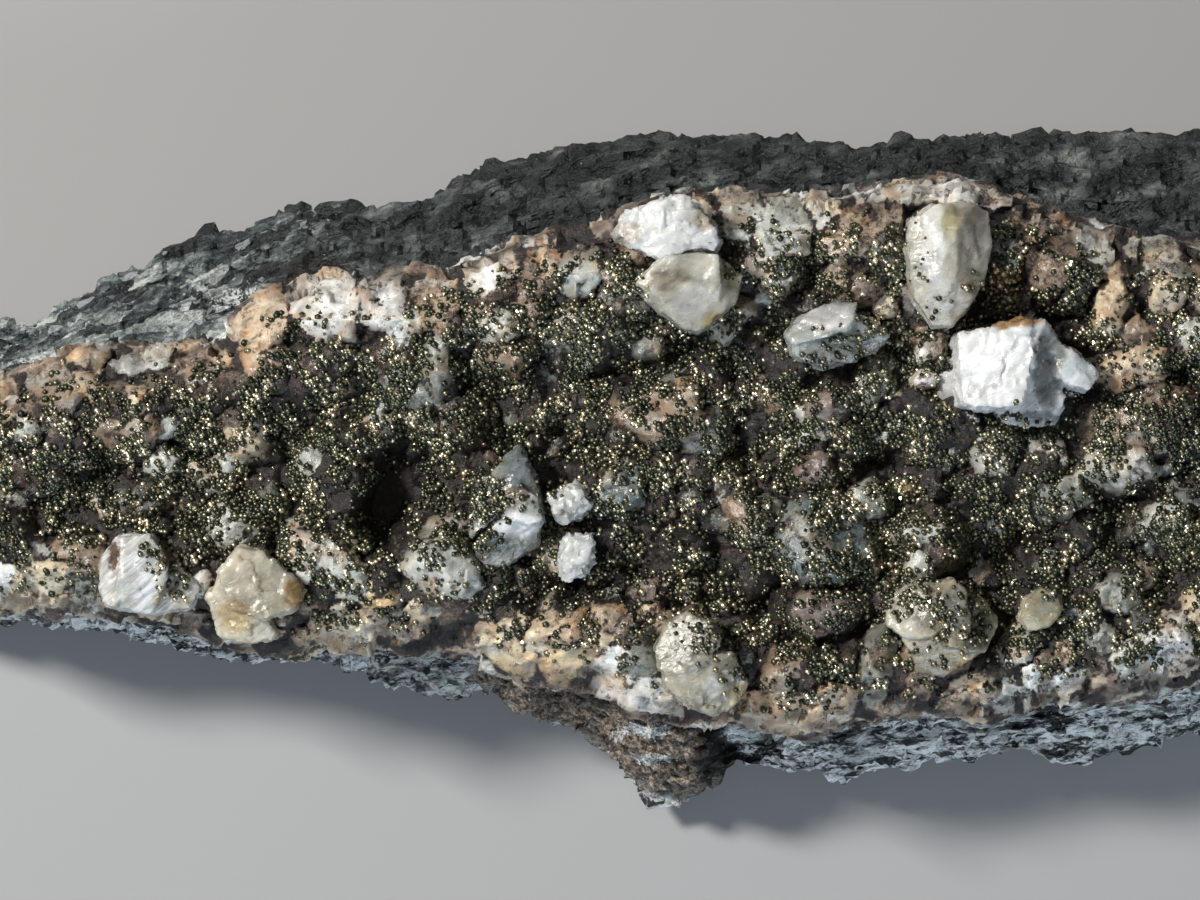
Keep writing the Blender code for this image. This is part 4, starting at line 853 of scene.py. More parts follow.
def crustSurface():
    plan = crustPlan
    step = plan["step"]
    xs = np.arange(*plan["spanX"], step)
    ys = np.arange(*plan["spanY"], step)
    gridX, gridY = np.meshgrid(xs, ys, indexing="ij")
    flat = np.zeros(gridX.shape)

    def rolling(size, seed):
        return roll(gridX, gridY, flat, size, seed)

    def broken(size, seed):
        return chipped(gridX, gridY, flat, size, seed)

    inside = insideBy(gridX, gridY, crustBorder)
    nearEdge = ease(3.0, 0.0, np.abs(inside))
    inside = inside + nearEdge * (0.4 * rolling(1.6, 5) + 0.14 * rolling(0.6, 6))
    ground = groundHeight(gridX, gridY, inside)
    gridZ = ground.copy()
    tint = np.zeros(gridX.shape + (3,))
    coat = np.zeros(gridX.shape)
    cover = blobs(gridX, gridY, pyriteSpots) * (1 - np.clip(blobs(gridX, gridY, bareSpots), 0, 1))
    rand = random.Random(20)
    facets = 0.36 * broken(1.15, 12) + 0.16 * broken(0.5, 13)

    # the ground between the crystals is brown and dark, redder near the rims
    rimness = ease(4.2, 1.2, inside)
    patch = 0.5 + 0.5 * rolling(3.2, 31)
    for c in range(3):
        trough = palette["brown"][c] * (0.4 + 0.8 * patch)
        rim = palette["tan"][c] * (0.3 + 0.8 * patch)
        tint[..., c] = trough * (1 - rimness) + rim * rimness
    coat += 0.75 - 0.35 * rimness

    def addCrystal(x, y, length, width, turn, top, colour, share, brown, crisp):
        reach = 1.35 * max(length, width)
        i0, i1 = np.searchsorted(xs, (x - reach, x + reach))
        j0, j1 = np.searchsorted(ys, (y - reach, y + reach))
        if i1 - i0 < 2 or j1 - j0 < 2:
            return
        window = (slice(i0, i1), slice(j0, j1))
        surface = crystalSurface(gridX[window] - x, gridY[window] - y, length, width, turn, top, rand, crisp)
        surface = surface + facets[window]
        higher = surface > gridZ[window]
        gridZ[window] = np.where(higher, surface, gridZ[window])
        shift = rand.uniform(0.86, 1.12)
        # the crown is milky, the sides are stained
        down = np.clip((top - surface) / (0.9 * math.sqrt(length * width)), 0, 1)
        inner = roll(gridX[window], gridY[window], surface, 0.7, 14)
        for c in range(3):
            t = tint[window][..., c]
            worn = palette[colour][c] * shift * (1 + 0.3 * inner)
            stain = (0.62, 0.50, 0.40)[c]
            worn = worn * (1 - 0.75 * down ** 1.5 * (1 - stain)) * (1.12 - 0.3 * down)
            t[higher] = worn[higher]
        coat[window][higher] = brown
        cover[window][higher] = cover[window][higher] * 0.35 + share * 0.68

    def groundAt(x, y):
        i = min(max(int((x - xs[0]) / step), 0), len(xs) - 1)
        j = min(max(int((y - ys[0]) / step), 0), len(ys) - 1)
        return ground[i, j], inside[i, j]

    # small crystals everywhere, paler near the rims
    for n in range(plan["lumps"]):
        x, y = rand.uniform(-45, 47), rand.uniform(-17, 16)
        z, d = groundAt(x, y)
        if d < 0.1:
            continue
        size = rand.uniform(*plan["smallLump"])
        if rand.random() < plan["largeShare"]:
            size = rand.uniform(*plan["largeLump"])
        near = d < 3.2
        if near:
            colour = rand.choice(rimColours)
        else:
            colour = rand.choice(troughColours)
            if size > 0.8:
                colour = rand.choice(lumpColours)
        width = size * rand.uniform(0.6, 1.0)
        turn = rand.uniform(0, 180)
        top = z + size * rand.uniform(0.2, 1.15)
        share = rand.uniform(0.0, 0.5) if near else rand.uniform(0.2, 1.0)
        brown = rand.uniform(0.0, 0.5) if near else rand.uniform(0.1, 0.95)
        addCrystal(x, y, size, width, turn, top, colour, share, brown, rand.uniform(9, 24))
    for x, y, length, width, turn, top, colour, share, brown in grownIn:
        z, d = groundAt(x, y)
        addCrystal(x, y, length, width, turn, top if top > 10 else z + top, colour, share, brown, 18.0)

    # the dark coat lies in the narrow gaps between crystals, deepened there as painted shade, and the tint
    # there is darkened as painted shade
    cavity = np.maximum(blurred(gridZ, 3) - gridZ, 0.5 * (blurred(gridZ, 9) - gridZ))
    creviceCoatAndShade = ease(0.03, 0.32, cavity)
    tint *= (1 - 0.6 * creviceCoatAndShade)[..., None]
    # painted shade in the hollows: their tint is darkened almost to black, the dark coat is laid in them and
    # their pyrite thinned out
    hollowShade = np.clip(blobs(gridX, gridY, hollows) / 2.2, 0, 1)
    coat = np.clip(coat * 0.9 + 0.8 * creviceCoatAndShade + 0.9 * ease(0.25, 0.7, hollowShade), 0, 1)
    patches = 0.5 + 0.5 * (0.6 * rolling(2.1, 41) + 0.55 * rolling(0.9, 42))
    cover = cover * (1 - 0.85 * ease(0.3, 0.9, hollowShade)) * (0.04 + 1.4 * ease(0.40, 0.62, patches))
    cover = cover * ease(0.5, 1.9, inside)
    tint *= (1 - 0.9 * ease(0.2, 0.8, hollowShade))[..., None]
    crumbs = 0.07 + 0.2 * ease(0.3, 0.8, coat)
    smooth = roll(gridX, gridY, gridZ, 0.5, 51)
    gridZ = gridZ + 0.5 * crumbs * smooth + crumbs * chipped(gridX, gridY, gridZ, 0.5, 52)
    gridZ = np.maximum(gridZ, plan["pitFloor"])
    # its outer shoulder is rounded
    shoulder = 15.3 + 2.5 * np.sqrt(np.clip(inside, 0, 9)) + 0.6 * broken(1.5, 54)
    gridZ = np.where(inside < 2.2, np.minimum(gridZ, shoulder), gridZ)
    return gridX, gridY, gridZ, inside, tint, coat, np.clip(cover, 0, 1)


# a closed ring of points or directions, evened out round by round
def evenedRing(ring, rounds):
    for turn in range(rounds):
        ring = (np.roll(ring, 1, axis=0) + ring + np.roll(ring, -1, axis=0)) / 3
    return ring


def unitRows(vectors):
    return vectors / np.maximum(np.linalg.norm(vectors, axis=1), 1e-6)[:, None]


def buildCrust():
    plan = crustPlan
    gridX, gridY, gridZ, inside, tint, coat, cover = crustSurface()
    keep = inside > 0
    # each column keeps one unbroken run
    for i in range(keep.shape[0]):
        run = np.flatnonzero(keep[i])
        if len(run):
            keep[i, run[0]:run[-1] + 1] = True
    cell = keep[:-1, :-1] & keep[1:, :-1] & keep[:-1, 1:] & keep[1:, 1:]
    used = np.zeros(keep.shape, bool)
    for a in (slice(0, -1), slice(1, None)):
        for b in (slice(0, -1), slice(1, None)):
            used[a, b] |= cell
    number = -np.ones(keep.shape, np.int64)
    number[used] = np.arange(used.sum())
    jitter = np.random.default_rng(6).uniform(-0.035, 0.035, (2,) + gridX.shape)
    points = np.stack([(gridX + jitter[0])[used], (gridY + jitter[1])[used], gridZ[used]], axis=1)
    i, j = np.nonzero(cell)
    quads = np.stack([number[i, j], number[i + 1, j], number[i + 1, j + 1], number[i, j + 1]], axis=1)
    follow = {}
    sides = np.concatenate([quads[:, [k, (k + 1) % 4]] for k in range(4)])
    present = set(map(tuple, sides.tolist()))
    for a, b in present:
        if (b, a) not in present:
            follow[a] = b
    start = next(iter(sorted(follow)))
    loop = [start]
    while follow[loop[-1]] != start:
        loop.append(follow[loop[-1]])
    count = len(loop)

    # the surface's own edge slides onto the border, then the broken wall goes down from it
    gradient = np.gradient(inside, plan["step"])
    inward = unitRows(np.stack([gradient[0][used], gradient[1][used]], axis=1)[loop])
    points[loop, :2] -= inward * np.clip(inside[used][loop], 0, 0.2)[:, None]
    outward = unitRows(evenedRing(-inward, 12))
    edge = evenedRing(points[loop], 5)
    points[loop] = edge
    evened = evenedRing(edge, 60)
    rng = np.random.default_rng(9)
    places = rng.uniform(0.1, 0.9, size=(tableSize, 3))
    kinds = rng.choice(len(wallColours), tableSize)
    colours = np.array([palette[name] for name in wallColours])[kinds] * rng.uniform(0.5, 1.0, (tableSize, 1))
    rows, rowTints, rowCoats = [points], [tint[used]], [coat[used]]
    for k in range(1, plan["wallRows"] + 1):
        share = k / plan["wallRows"]
        leave = ease(0.0, 0.35, share)
        x = edge[:, 0] + (evened[:, 0] - edge[:, 0]) * leave
        y = edge[:, 1] + (evened[:, 1] - edge[:, 1]) * leave
        z = edge[:, 2] + (plan["floor"] - edge[:, 2]) * share
        out = 0.3 + 0.55 * chipped(x, y, z, 1.7, 55) + 0.32 * chipped(x, y, z, 0.8, 56)
        out = out + 0.4 * roll(x, y, z, 3.0, 57)
        out = out * ease(0.0, 0.16, share) + 0.35 * share
        x, y = x + outward[:, 0] * out, y + outward[:, 1] * out
        rows.append(np.stack([x, y, z], axis=1))
        key, _ = nearestCell(x, y, z, 1.9, places)
        blend = ease(0.0, 0.25, share)
        rowTints.append(tint[used][loop] * (1 - blend) + colours[key] * blend)
        stain = 0.35 + 0.7 * roll(x, y, z, 1.6, 58)
        rowCoats.append(np.clip(coat[used][loop] * (1 - blend) + stain * blend, 0, 1))
    base = len(points)
    faces = quads.tolist()
    above = np.array(loop)
    n = np.arange(count)
    m = (n + 1) % count
    for k in range(plan["wallRows"]):
        below = base + k * count + n
        faces += np.stack([above[m], above[n], below[n], below[m]], axis=1).tolist()
        above = below
    faces.append([int(v) for v in reversed(above)])
    points = np.concatenate(rows)
    crust = meshFrom("calciteCrust", points, faces)
    # the rim's steep flanks are broken too, with stains of their own
    normals = normalsOf(crust.data)
    x, y, z = points.T
    near = np.zeros(len(points))
    near[:base] = ease(1.9, 0.8, inside[used])
    steep = ease(0.75, 0.35, normals[:, 2]) * near
    facets = 0.75 * chipped(x, y, 1.3 * z, 1.7, 95) + 0.3 * chipped(x, y, z, 0.65, 96)
    points = points + normals * (steep * facets)[:, None]
    putPoints(crust.data, points)
    key, _ = nearestCell(x, y, z, 1.5, places)
    share = (0.6 * steep)[:, None]
    tints = np.concatenate(rowTints) * (1 - share) + colours[key] * share
    stain = np.clip(0.3 + 0.8 * roll(x, y, z, 1.3, 97), 0, 1)
    coats = np.concatenate(rowCoats) * (1 - 0.5 * steep) + stain * 0.5 * steep
    giveColours(crust.data, "tint", tints)
    giveValues(crust.data, "coat", coats)
    giveValues(crust.data, "pyriteCover", np.concatenate([cover[used], np.zeros(len(points) - base)]))
    crust.data.shade_smooth()
    crust.data.set_sharp_from_angle(angle=math.radians(48))
    print("crust:", len(faces), "faces, edge of", count, "points out of", len(follow))
    return crust


# the larger single crystals

# parts: outline about the crystal's centre, top, facets as (direction, slope, distance); patches are
# (x, y, half length, half width, colour), spots of pyrite and coat end with an amount instead
singleCrystals = {
    "cleavage_block": {
        "centre": (24.6, 4.8), "kind": "white", "tint": (0.78, 0.79, 0.79), "rough": 0.065,
        "parts": [
            {"outline": [(-3.4, 2.1), (-0.9, 2.8), (0.9, 3.1), (1.0, 1.4), (0.8, -0.6), (0.4, -2.4),
                         (-0.9, -2.5), (-3.3, -2.3), (-3.5, -0.2)],
             "top": 23.5, "facets": [(160, 12, 0.4)]},
            {"outline": [(0.7, 2.9), (1.7, 3.0), (2.7, 1.6), (3.6, 0.2), (2.9, -1.2), (2.0, -2.9),
                         (0.3, -2.5)],
             "top": 23.2, "facets": [(-20, 44, 0.6), (-80, 30, 1.6)]},
            {"outline": [(2.4, 1.7), (3.8, 1.0), (5.0, -0.2), (4.4, -1.2), (3.4, -1.0), (2.4, -0.4)],
             "top": 22.0, "facets": [(30, 30, 3.4), (-120, 25, 2.2)]},
            {"outline": [(-4.5, -0.2), (-3.2, 0.0), (-2.4, -1.2), (-2.7, -2.6), (-3.8, -2.4), (-4.5, -1.6)],
             "top": 21.9, "facets": [(-150, 30, -3.0)]},
            {"outline": [(-1.0, -2.2), (1.6, -2.5), (3.2, -1.4), (2.6, -3.3), (0.8, -3.4), (-0.8, -3.0)],
             "top": 20.8, "facets": [(-90, 35, 2.4)]},
        ],
        # the first patch is painted shade: the grey right flank, turned away from the lamp
        "patches": [(2.0, 0.2, 1.0, 2.2, (0.19, 0.195, 0.185)),
                    (3.7, -0.1, 0.9, 1.0, (0.577, 0.622, 0.644)),
                    (-0.6, 2.75, 2.4, 0.3, (0.37, 0.222, 0.104)),
                    (1.5, -2.9, 1.6, 0.5, (0.311, 0.333, 0.333))],
        "pyrite": [(0.0, -3.0, 2.6, 0.5, 0.35)], "coat": [],
    },
    "tall_crystal": {
        "centre": (20.6, 11.2), "kind": "cream", "tint": (0.58, 0.56, 0.49), "rough": 0.018,
        "parts": [
            {"outline": [(-2.6, 1.0), (-2.2, 2.6), (-0.8, 3.5), (0.4, 3.6), (0.7, 0.6), (0.3, -4.0),
                         (-0.8, -4.0), (-2.0, -2.3)],
             "top": 23.0, "facets": [(180, 30, 0.7), (-90, 26, 0.9), (90, 22, 1.8)]},
            {"outline": [(0.1, 3.6), (1.3, 3.7), (2.5, 3.0), (2.8, 1.3), (2.4, -0.8), (1.4, -2.8),
                         (0.1, -4.2), (-0.3, 0.5)],
             "top": 22.9, "facets": [(0, 34, 0.5), (-90, 24, 0.7), (90, 28, 1.9)]},
        ],
        # the white streak on the left is a painted highlight, the two grey patches on the right are painted
        # shade
        "patches": [(-0.8, 0.9, 0.75, 2.4, (0.84, 0.85, 0.83)),
                    (0.3, 2.3, 0.6, 1.0, (0.55, 0.50, 0.32)),
                    (1.5, 1.8, 0.9, 1.6, (0.34, 0.318, 0.266)),
                    (1.4, -1.4, 0.9, 1.0, (0.385, 0.348, 0.266))],
        "pyrite": [(-1.7, 0.4, 0.6, 1.8, 0.10), (-0.9, -2.6, 0.8, 1.0, 0.10), (1.6, -1.6, 0.6, 0.8, 0.35)],
        "coat": [],
    },
    "broken_crystal": {
        "centre": (4.05, 13.1), "kind": "white", "tint": (0.76, 0.77, 0.755), "rough": 0.10,
        "parts": [
            {"outline": [(-3.2, -0.2), (-2.8, 0.8), (-1.7, 1.3), (-0.2, 1.8), (0.2, 0.2), (-0.4, -1.6),
                         (-0.8, -1.7), (-2.2, -1.0)],
             "top": 22.0, "facets": [(150, 22, 1.2), (-90, 25, 0.6)]},
            {"outline": [(-0.5, 1.8), (0.9, 2.0), (2.2, 1.1), (3.2, -0.7), (2.8, -1.4), (1.3, -1.4),
                         (-0.8, -1.7)],
             "top": 22.3, "facets": [(60, 22, 0.9), (-90, 18, 0.2)]},
        ],
        "patches": [(-2.4, -0.2, 0.8, 0.7, (0.407, 0.37, 0.311)),
                    (2.3, 0.6, 0.8, 0.8, (0.459, 0.414, 0.34))],
        "pyrite": [], "coat": [(-2.9, -0.6, 0.6, 0.6, 0.4)],
    },
    "wedge_crystal": {
        "centre": (5.25, 9.3), "kind": "cream", "tint": (0.62, 0.60, 0.52), "rough": 0.02,
        "parts": [
            {"outline": [(-3.4, 0.4), (-2.6, 1.3), (-1.4, 2.4), (0.7, 2.6), (2.0, 2.5), (2.1, 0.4),
                         (1.9, -1.2), (1.4, -2.0), (0.6, -2.4), (-0.4, -2.1), (-1.5, -1.3), (-2.6, -0.5)],
             "top": 22.0, "facets": [(-60, 13, -0.4), (-135, 42, 1.4)]},
            {"outline": [(1.2, 2.1), (2.4, 2.0), (3.2, 0.9), (2.9, -0.5), (1.9, -1.4), (1.4, 0.2)],
             "top": 21.4, "facets": [(10, 34, 1.9)]},
        ],
        # the first patch is a painted shadow, cast on the top left by the broken crystal above
        "patches": [(-1.3, 0.8, 1.5, 0.6, (0.34, 0.303, 0.237)),
                    (0.2, -0.5, 1.4, 1.0, (0.622, 0.614, 0.585)),
                    (2.5, 0.9, 0.5, 0.8, (0.429, 0.37, 0.244)),
                    (1.6, -1.6, 0.9, 0.5, (0.533, 0.444, 0.252))],
        "pyrite": [(2.6, 1.2, 0.5, 0.6, 0.5), (-3.0, 0.2, 0.5, 0.5, 0.5)],
        "coat": [(3.0, -0.2, 0.3, 0.5, 0.35)],
    },
    "pale_crystal": {
        "centre": (14.1, 7.0), "kind": "grey", "tint": (0.42, 0.44, 0.41), "rough": 0.04,
        "parts": [
            {"outline": [(-3.2, -0.2), (-2.3, 0.8), (0.0, 2.0), (1.4, 1.9), (0.9, 0.2), (-0.6, -0.4),
                         (-2.6, -0.8)],
             "top": 21.2, "facets": [(115, 28, 0.1)]},
            {"outline": [(-3.0, -0.5), (-0.4, 0.2), (1.6, 1.2), (2.5, 0.7), (3.3, -0.2), (2.5, -1.1),
                         (0.7, -1.8), (-1.1, -2.2), (-2.9, -1.2)],
             "top": 20.7, "facets": [(-75, 22, -0.2), (20, 25, 1.6)]},
        ],
        "patches": [(-0.6, 1.0, 1.9, 0.75, (0.95, 0.96, 0.96)),
                    (0.6, -0.6, 1.6, 0.7, (0.2, 0.211, 0.192))],
        "pyrite": [(2.4, 0.4, 1.1, 1.0, 0.55), (0.6, -0.6, 1.6, 0.8, 0.25), (-1.6, -1.8, 1.4, 0.5, 0.5)],
        "coat": [],
    },
    "cream_lump": {
        "centre": (-20.5, -8.7), "kind": "cream", "tint": (0.60, 0.55, 0.44), "rough": 0.055,
        "parts": [
            {"outline": [(-2.2, 1.4), (-1.0, 3.0), (0.2, 2.9), (2.1, 1.4), (3.1, 0.4), (2.4, -0.9),
                         (0.4, -1.4), (-1.6, -0.8)],
             "top": 22.0, "facets": [(45, 24, 0.6), (-120, 20, 0.6)]},
            {"outline": [(-3.0, 0.0), (-2.0, 1.8), (-0.4, 0.9), (0.6, -1.0), (1.4, -2.5), (-0.3, -2.9),
                         (-2.2, -2.6), (-2.7, -1.2)],
             "top": 21.4, "facets": [(-150, 30, 0.6), (-60, 26, 0.6)]},
        ],
        "patches": [(0.6, 0.8, 1.2, 1.2, (0.592, 0.562, 0.459)),
                    (-1.2, -1.2, 1.0, 1.0, (0.474, 0.37, 0.2)),
                    (2.3, 0.2, 0.6, 0.8, (0.385, 0.266, 0.126))],
        "pyrite": [], "coat": [(2.9, 0.2, 0.5, 0.5, 0.3)],
    },
    "striped_crystal": {
        "centre": (-27.0, -7.6), "kind": "silky", "tint": (0.60, 0.60, 0.57), "rough": 0.025,
        "parts": [
            {"outline": [(-2.8, 1.1), (-1.8, 2.6), (-0.6, 2.7), (-0.9, 0.4), (-1.8, -1.9), (-2.4, -1.8),
                         (-3.0, -0.7)],
             "top": 21.2, "facets": [(170, 30, 1.6)]},
            {"outline": [(-1.6, 2.6), (0.3, 2.7), (1.4, 1.3), (1.2, -0.6), (0.3, -2.3), (-2.0, -1.9),
                         (-1.7, 0.4)],
             "top": 21.6, "facets": [(-90, 28, 0.3), (40, 18, 0.8)]},
            {"outline": [(0.6, 2.2), (1.8, 1.1), (3.2, -0.7), (2.6, -1.9), (0.3, -2.3), (0.6, 0.0)],
             "top": 20.6, "facets": [(10, 30, 1.2), (-80, 24, 0.8)]},
        ],
        "patches": [(-0.2, 0.2, 0.9, 1.7, (0.688, 0.696, 0.703)),
                    (-1.6, -1.3, 0.8, 0.6, (0.533, 0.518, 0.459)),
                    (1.6, -1.4, 1.1, 0.7, (0.429, 0.348, 0.222))],
        "pyrite": [(0.9, 1.6, 0.9, 1.0, 0.8), (1.8, -0.4, 0.9, 0.8, 0.35)],
        "coat": [(-1.9, 1.3, 0.5, 1.2, 0.9), (1.3, 1.3, 0.7, 1.1, 0.9)],
    },
    "grey_crystal": {
        "centre": (-5.5, -3.85), "kind": "grey", "tint": (0.33, 0.345, 0.31), "rough": 0.05,
        "parts": [
            {"outline": [(-0.9, 2.6), (0.7, 4.2), (1.4, 2.7), (2.0, 0.9), (0.6, 0.9), (-0.9, 1.4)],
             "top": 21.0, "facets": [(0, 30, 0.7), (90, 22, 2.4)]},
            {"outline": [(-2.1, 0.9), (-1.7, 2.4), (0.2, 2.2), (2.0, 1.0), (2.2, -0.3), (1.6, -0.6),
                         (-0.6, 0.0), (-2.3, -1.5)],
             "top": 21.2, "facets": [(150, 18, 0.4)]},
            {"outline": [(-1.6, -1.4), (-0.4, 0.0), (2.1, -0.2), (1.9, -1.8), (0.4, -2.7), (-1.2, -3.6),
                         (-2.1, -2.2)],
             "top": 20.9, "facets": [(-60, 36, 0.4)]},
        ],
        "patches": [(0.6, -0.6, 1.5, 0.6, (0.86, 0.87, 0.88)),
                    (0.6, 2.6, 0.7, 1.2, (0.36, 0.41, 0.44)),
                    (-0.8, -2.8, 1.0, 0.6, (0.385, 0.37, 0.311)),
                    (0.2, 1.2, 1.2, 0.4, (0.222, 0.163, 0.111))],
        "pyrite": [(-1.4, 0.8, 1.1, 1.4, 0.9), (-1.6, -2.0, 0.8, 1.2, 0.6), (0.4, 0.6, 1.0, 0.6, 0.35)],
        "coat": [(0.0, 1.0, 1.6, 0.5, 0.6), (1.2, 3.0, 0.4, 0.6, 0.4)],
    },
    "small_white_a": {
        "centre": (-1.7, -3.15), "kind": "white", "tint": (0.66, 0.68, 0.67), "rough": 0.13,
        "parts": [{"outline": [(-1.1, 0.4), (-0.4, 1.1), (0.7, 1.0), (1.2, -0.1), (0.7, -1.1), (-0.5, -1.1),
                               (-1.1, -0.4)],
                   "top": 20.2, "facets": [(120, 20, 0.1), (-45, 38, 0.4), (30, 25, 0.5)]}],
        "patches": [(-0.5, -0.6, 0.5, 0.4, (0.407, 0.414, 0.407))],
        "pyrite": [(-0.9, 0.8, 0.4, 0.4, 0.4)], "coat": [(-0.6, -1.0, 0.5, 0.3, 0.5)],
    },
    "small_white_b": {
        "centre": (-1.4, -6.3), "kind": "white", "tint": (0.58, 0.60, 0.59), "rough": 0.14,
        "parts": [{"outline": [(-0.9, 0.7), (-0.1, 1.3), (1.0, 1.3), (1.0, 0.1), (0.5, -0.9), (-0.4, -1.4),
                               (-1.1, -0.9)],
                   "top": 20.4, "facets": [(160, 25, 0.1), (-60, 30, 0.5)]}],
        "patches": [(0.5, 0.9, 0.5, 0.4, (0.429, 0.459, 0.459))],
        "pyrite": [], "coat": [(0.8, 1.2, 0.5, 0.3, 0.4)],
    },
    "rhomb_crystal": {
        "centre": (26.3, -9.6), "kind": "cream", "tint": (0.46, 0.42, 0.30), "rough": 0.03,
        "parts": [{"outline": [(-1.3, -0.5), (-1.0, 0.7), (0.1, 1.4), (1.1, 1.0), (1.3, 0.2), (0.4, -1.0),
                               (-0.8, -1.3)],
                   "top": 20.8, "facets": [(60, 22, 0.3), (-110, 35, 0.5)]}],
        "patches": [(0.3, 0.4, 0.5, 0.7, (0.518, 0.503, 0.414))],
        "pyrite": [(0.6, 1.0, 0.5, 0.3, 0.4)], "coat": [],
    },
    "cream_cluster": {
        "centre": (20.4, -10.6), "kind": "cream", "tint": (0.40, 0.36, 0.27), "rough": 0.04,
        "parts": [
            {"outline": [(-3.5, 1.7), (-2.3, 2.6), (0.0, 2.7), (0.4, 0.8), (-0.6, -0.6), (-2.3, -0.7),
                         (-3.3, 0.2)],
             "top": 21.8, "facets": [(120, 25, 1.2), (-90, 22, 0.2)]},
            {"outline": [(0.0, 2.9), (0.6, 3.0), (1.4, 2.3), (1.6, 0.6), (1.4, -1.4), (0.2, -1.2),
                         (-0.3, 0.8)],
             "top": 22.2, "facets": [(60, 30, 1.6), (-30, 25, 0.8)]},
            {"outline": [(-2.4, -0.4), (-0.4, 0.2), (1.4, -0.4), (2.4, -1.4), (0.1, -3.0), (-1.7, -2.5)],
             "top": 21.2, "facets": [(-90, 28, 0.8)]},
            {"outline": [(1.2, 2.2), (2.5, 1.7), (3.4, 0.2), (2.5, -1.6), (1.2, -1.2)],
             "top": 21.0, "facets": [(10, 34, 1.8)]},
        ],
        "patches": [(-0.6, -1.0, 1.6, 1.2, (0.488, 0.422, 0.296)),
                    (0.6, 1.0, 0.7, 1.3, (0.355, 0.348, 0.311)),
                    (-2.2, 0.2, 1.0, 0.7, (0.459, 0.444, 0.392)),
                    (0.8, -2.2, 1.2, 0.5, (0.407, 0.311, 0.163))],
        "pyrite": [(-1.6, 1.6, 1.7, 0.8, 0.9), (1.9, 0.4, 0.8, 1.4, 0.7), (-0.2, 0.2, 0.7, 1.0, 0.35),
                   (-0.6, -1.6, 1.6, 0.8, 0.15)],
        "coat": [(-0.9, 2.2, 0.8, 0.5, 0.7)],
    },
    "translucent_lump": {
        "centre": (6.0, -12.7), "kind": "cream", "tint": (0.42, 0.395, 0.32), "rough": 0.04,
        "parts": [
            {"outline": [(-2.8, 0.9), (-2.2, 2.4), (-0.7, 3.2), (0.8, 2.4), (1.4, 1.4), (0.0, -0.4),
                         (-1.6, -0.8), (-2.6, -0.4)],
             "top": 21.4, "facets": [(150, 22, 0.9), (-60, 18, 0.2)]},
            {"outline": [(-2.4, -0.6), (0.0, 0.4), (2.0, 0.9), (3.0, -1.2), (2.3, -2.4), (0.8, -3.2),
                         (-0.7, -2.7), (-2.2, -1.5)],
             "top": 21.2, "facets": [(-50, 26, 0.8), (-130, 20, 1.0)]},
        ],
        "patches": [(-0.6, 0.6, 1.5, 1.2, (0.296, 0.285, 0.237)),
                    (0.6, -1.4, 0.7, 0.6, (0.533, 0.525, 0.488)),
                    (2.2, -1.8, 0.6, 0.6, (0.488, 0.4, 0.237))],
        "pyrite": [(0.4, 1.6, 1.2, 0.9, 0.75), (1.8, -0.6, 0.8, 0.8, 0.3)],
        "coat": [(2.4, -1.9, 0.7, 0.5, 0.6)],
    },
}

crystalBuild = {
    "voxel": 0.165,      # how finely the parts are fused, mm
    "root": 16.1,        # height where they start, inside the crust
    "taper": 0.94,       # size of a part's top against its foot
    "step": 0.6,         # distance between cleavage steps
}


# one part of a crystal: its outline raised to its top, with the facets cut off
def prism(bm, part, centre):
    cx, cy = centre
    piece = bmesh.new()
    foot = [piece.verts.new((x, y, crystalBuild["root"])) for x, y in part["outline"]]
    face = piece.faces.new(foot)
    grown = bmesh.ops.extrude_face_region(piece, geom=[face], use_keep_orig=True)["geom"]
    middle = Vector((sum(p[0] for p in part["outline"]), sum(p[1] for p in part["outline"]), 0)) / len(foot)
    for v in grown:
        if isinstance(v, bmesh.types.BMVert):
            v.co.x = middle.x + (v.co.x - middle.x) * crystalBuild["taper"]
            v.co.y = middle.y + (v.co.y - middle.y) * crystalBuild["taper"]
            v.co.z = part["top"]
    for direction, slope, distance in part["facets"]:
        turn, tilt = math.radians(direction), math.radians(slope)
        normal = Vector((math.cos(turn) * math.sin(tilt), math.sin(turn) * math.sin(tilt), math.cos(tilt)))
        point = Vector((math.cos(turn) * distance, math.sin(turn) * distance, part["top"]))
        whole = piece.verts[:] + piece.edges[:] + piece.faces[:]
        cut = bmesh.ops.bisect_plane(piece, geom=whole, plane_co=point, plane_no=normal, clear_outer=True)
        rim = [e for e in cut["geom_cut"] if isinstance(e, bmesh.types.BMEdge)]
        bmesh.ops.edgeloop_fill(piece, edges=rim)
    bmesh.ops.translate(piece, vec=(cx, cy, 0), verts=piece.verts[:])
    bmesh.ops.recalc_face_normals(piece, faces=piece.faces[:])
    mesh = bpy.data.meshes.new("part")
    piece.to_mesh(mesh)
    piece.free()
    bm.from_mesh(mesh)
    bpy.data.meshes.remove(mesh)


# a plain mesh of an object with its modifiers applied
def evaluated(obj):
    graph = bpy.context.evaluated_depsgraph_get()
    graph.update()
    return bpy.data.meshes.new_from_object(obj.evaluated_get(graph))


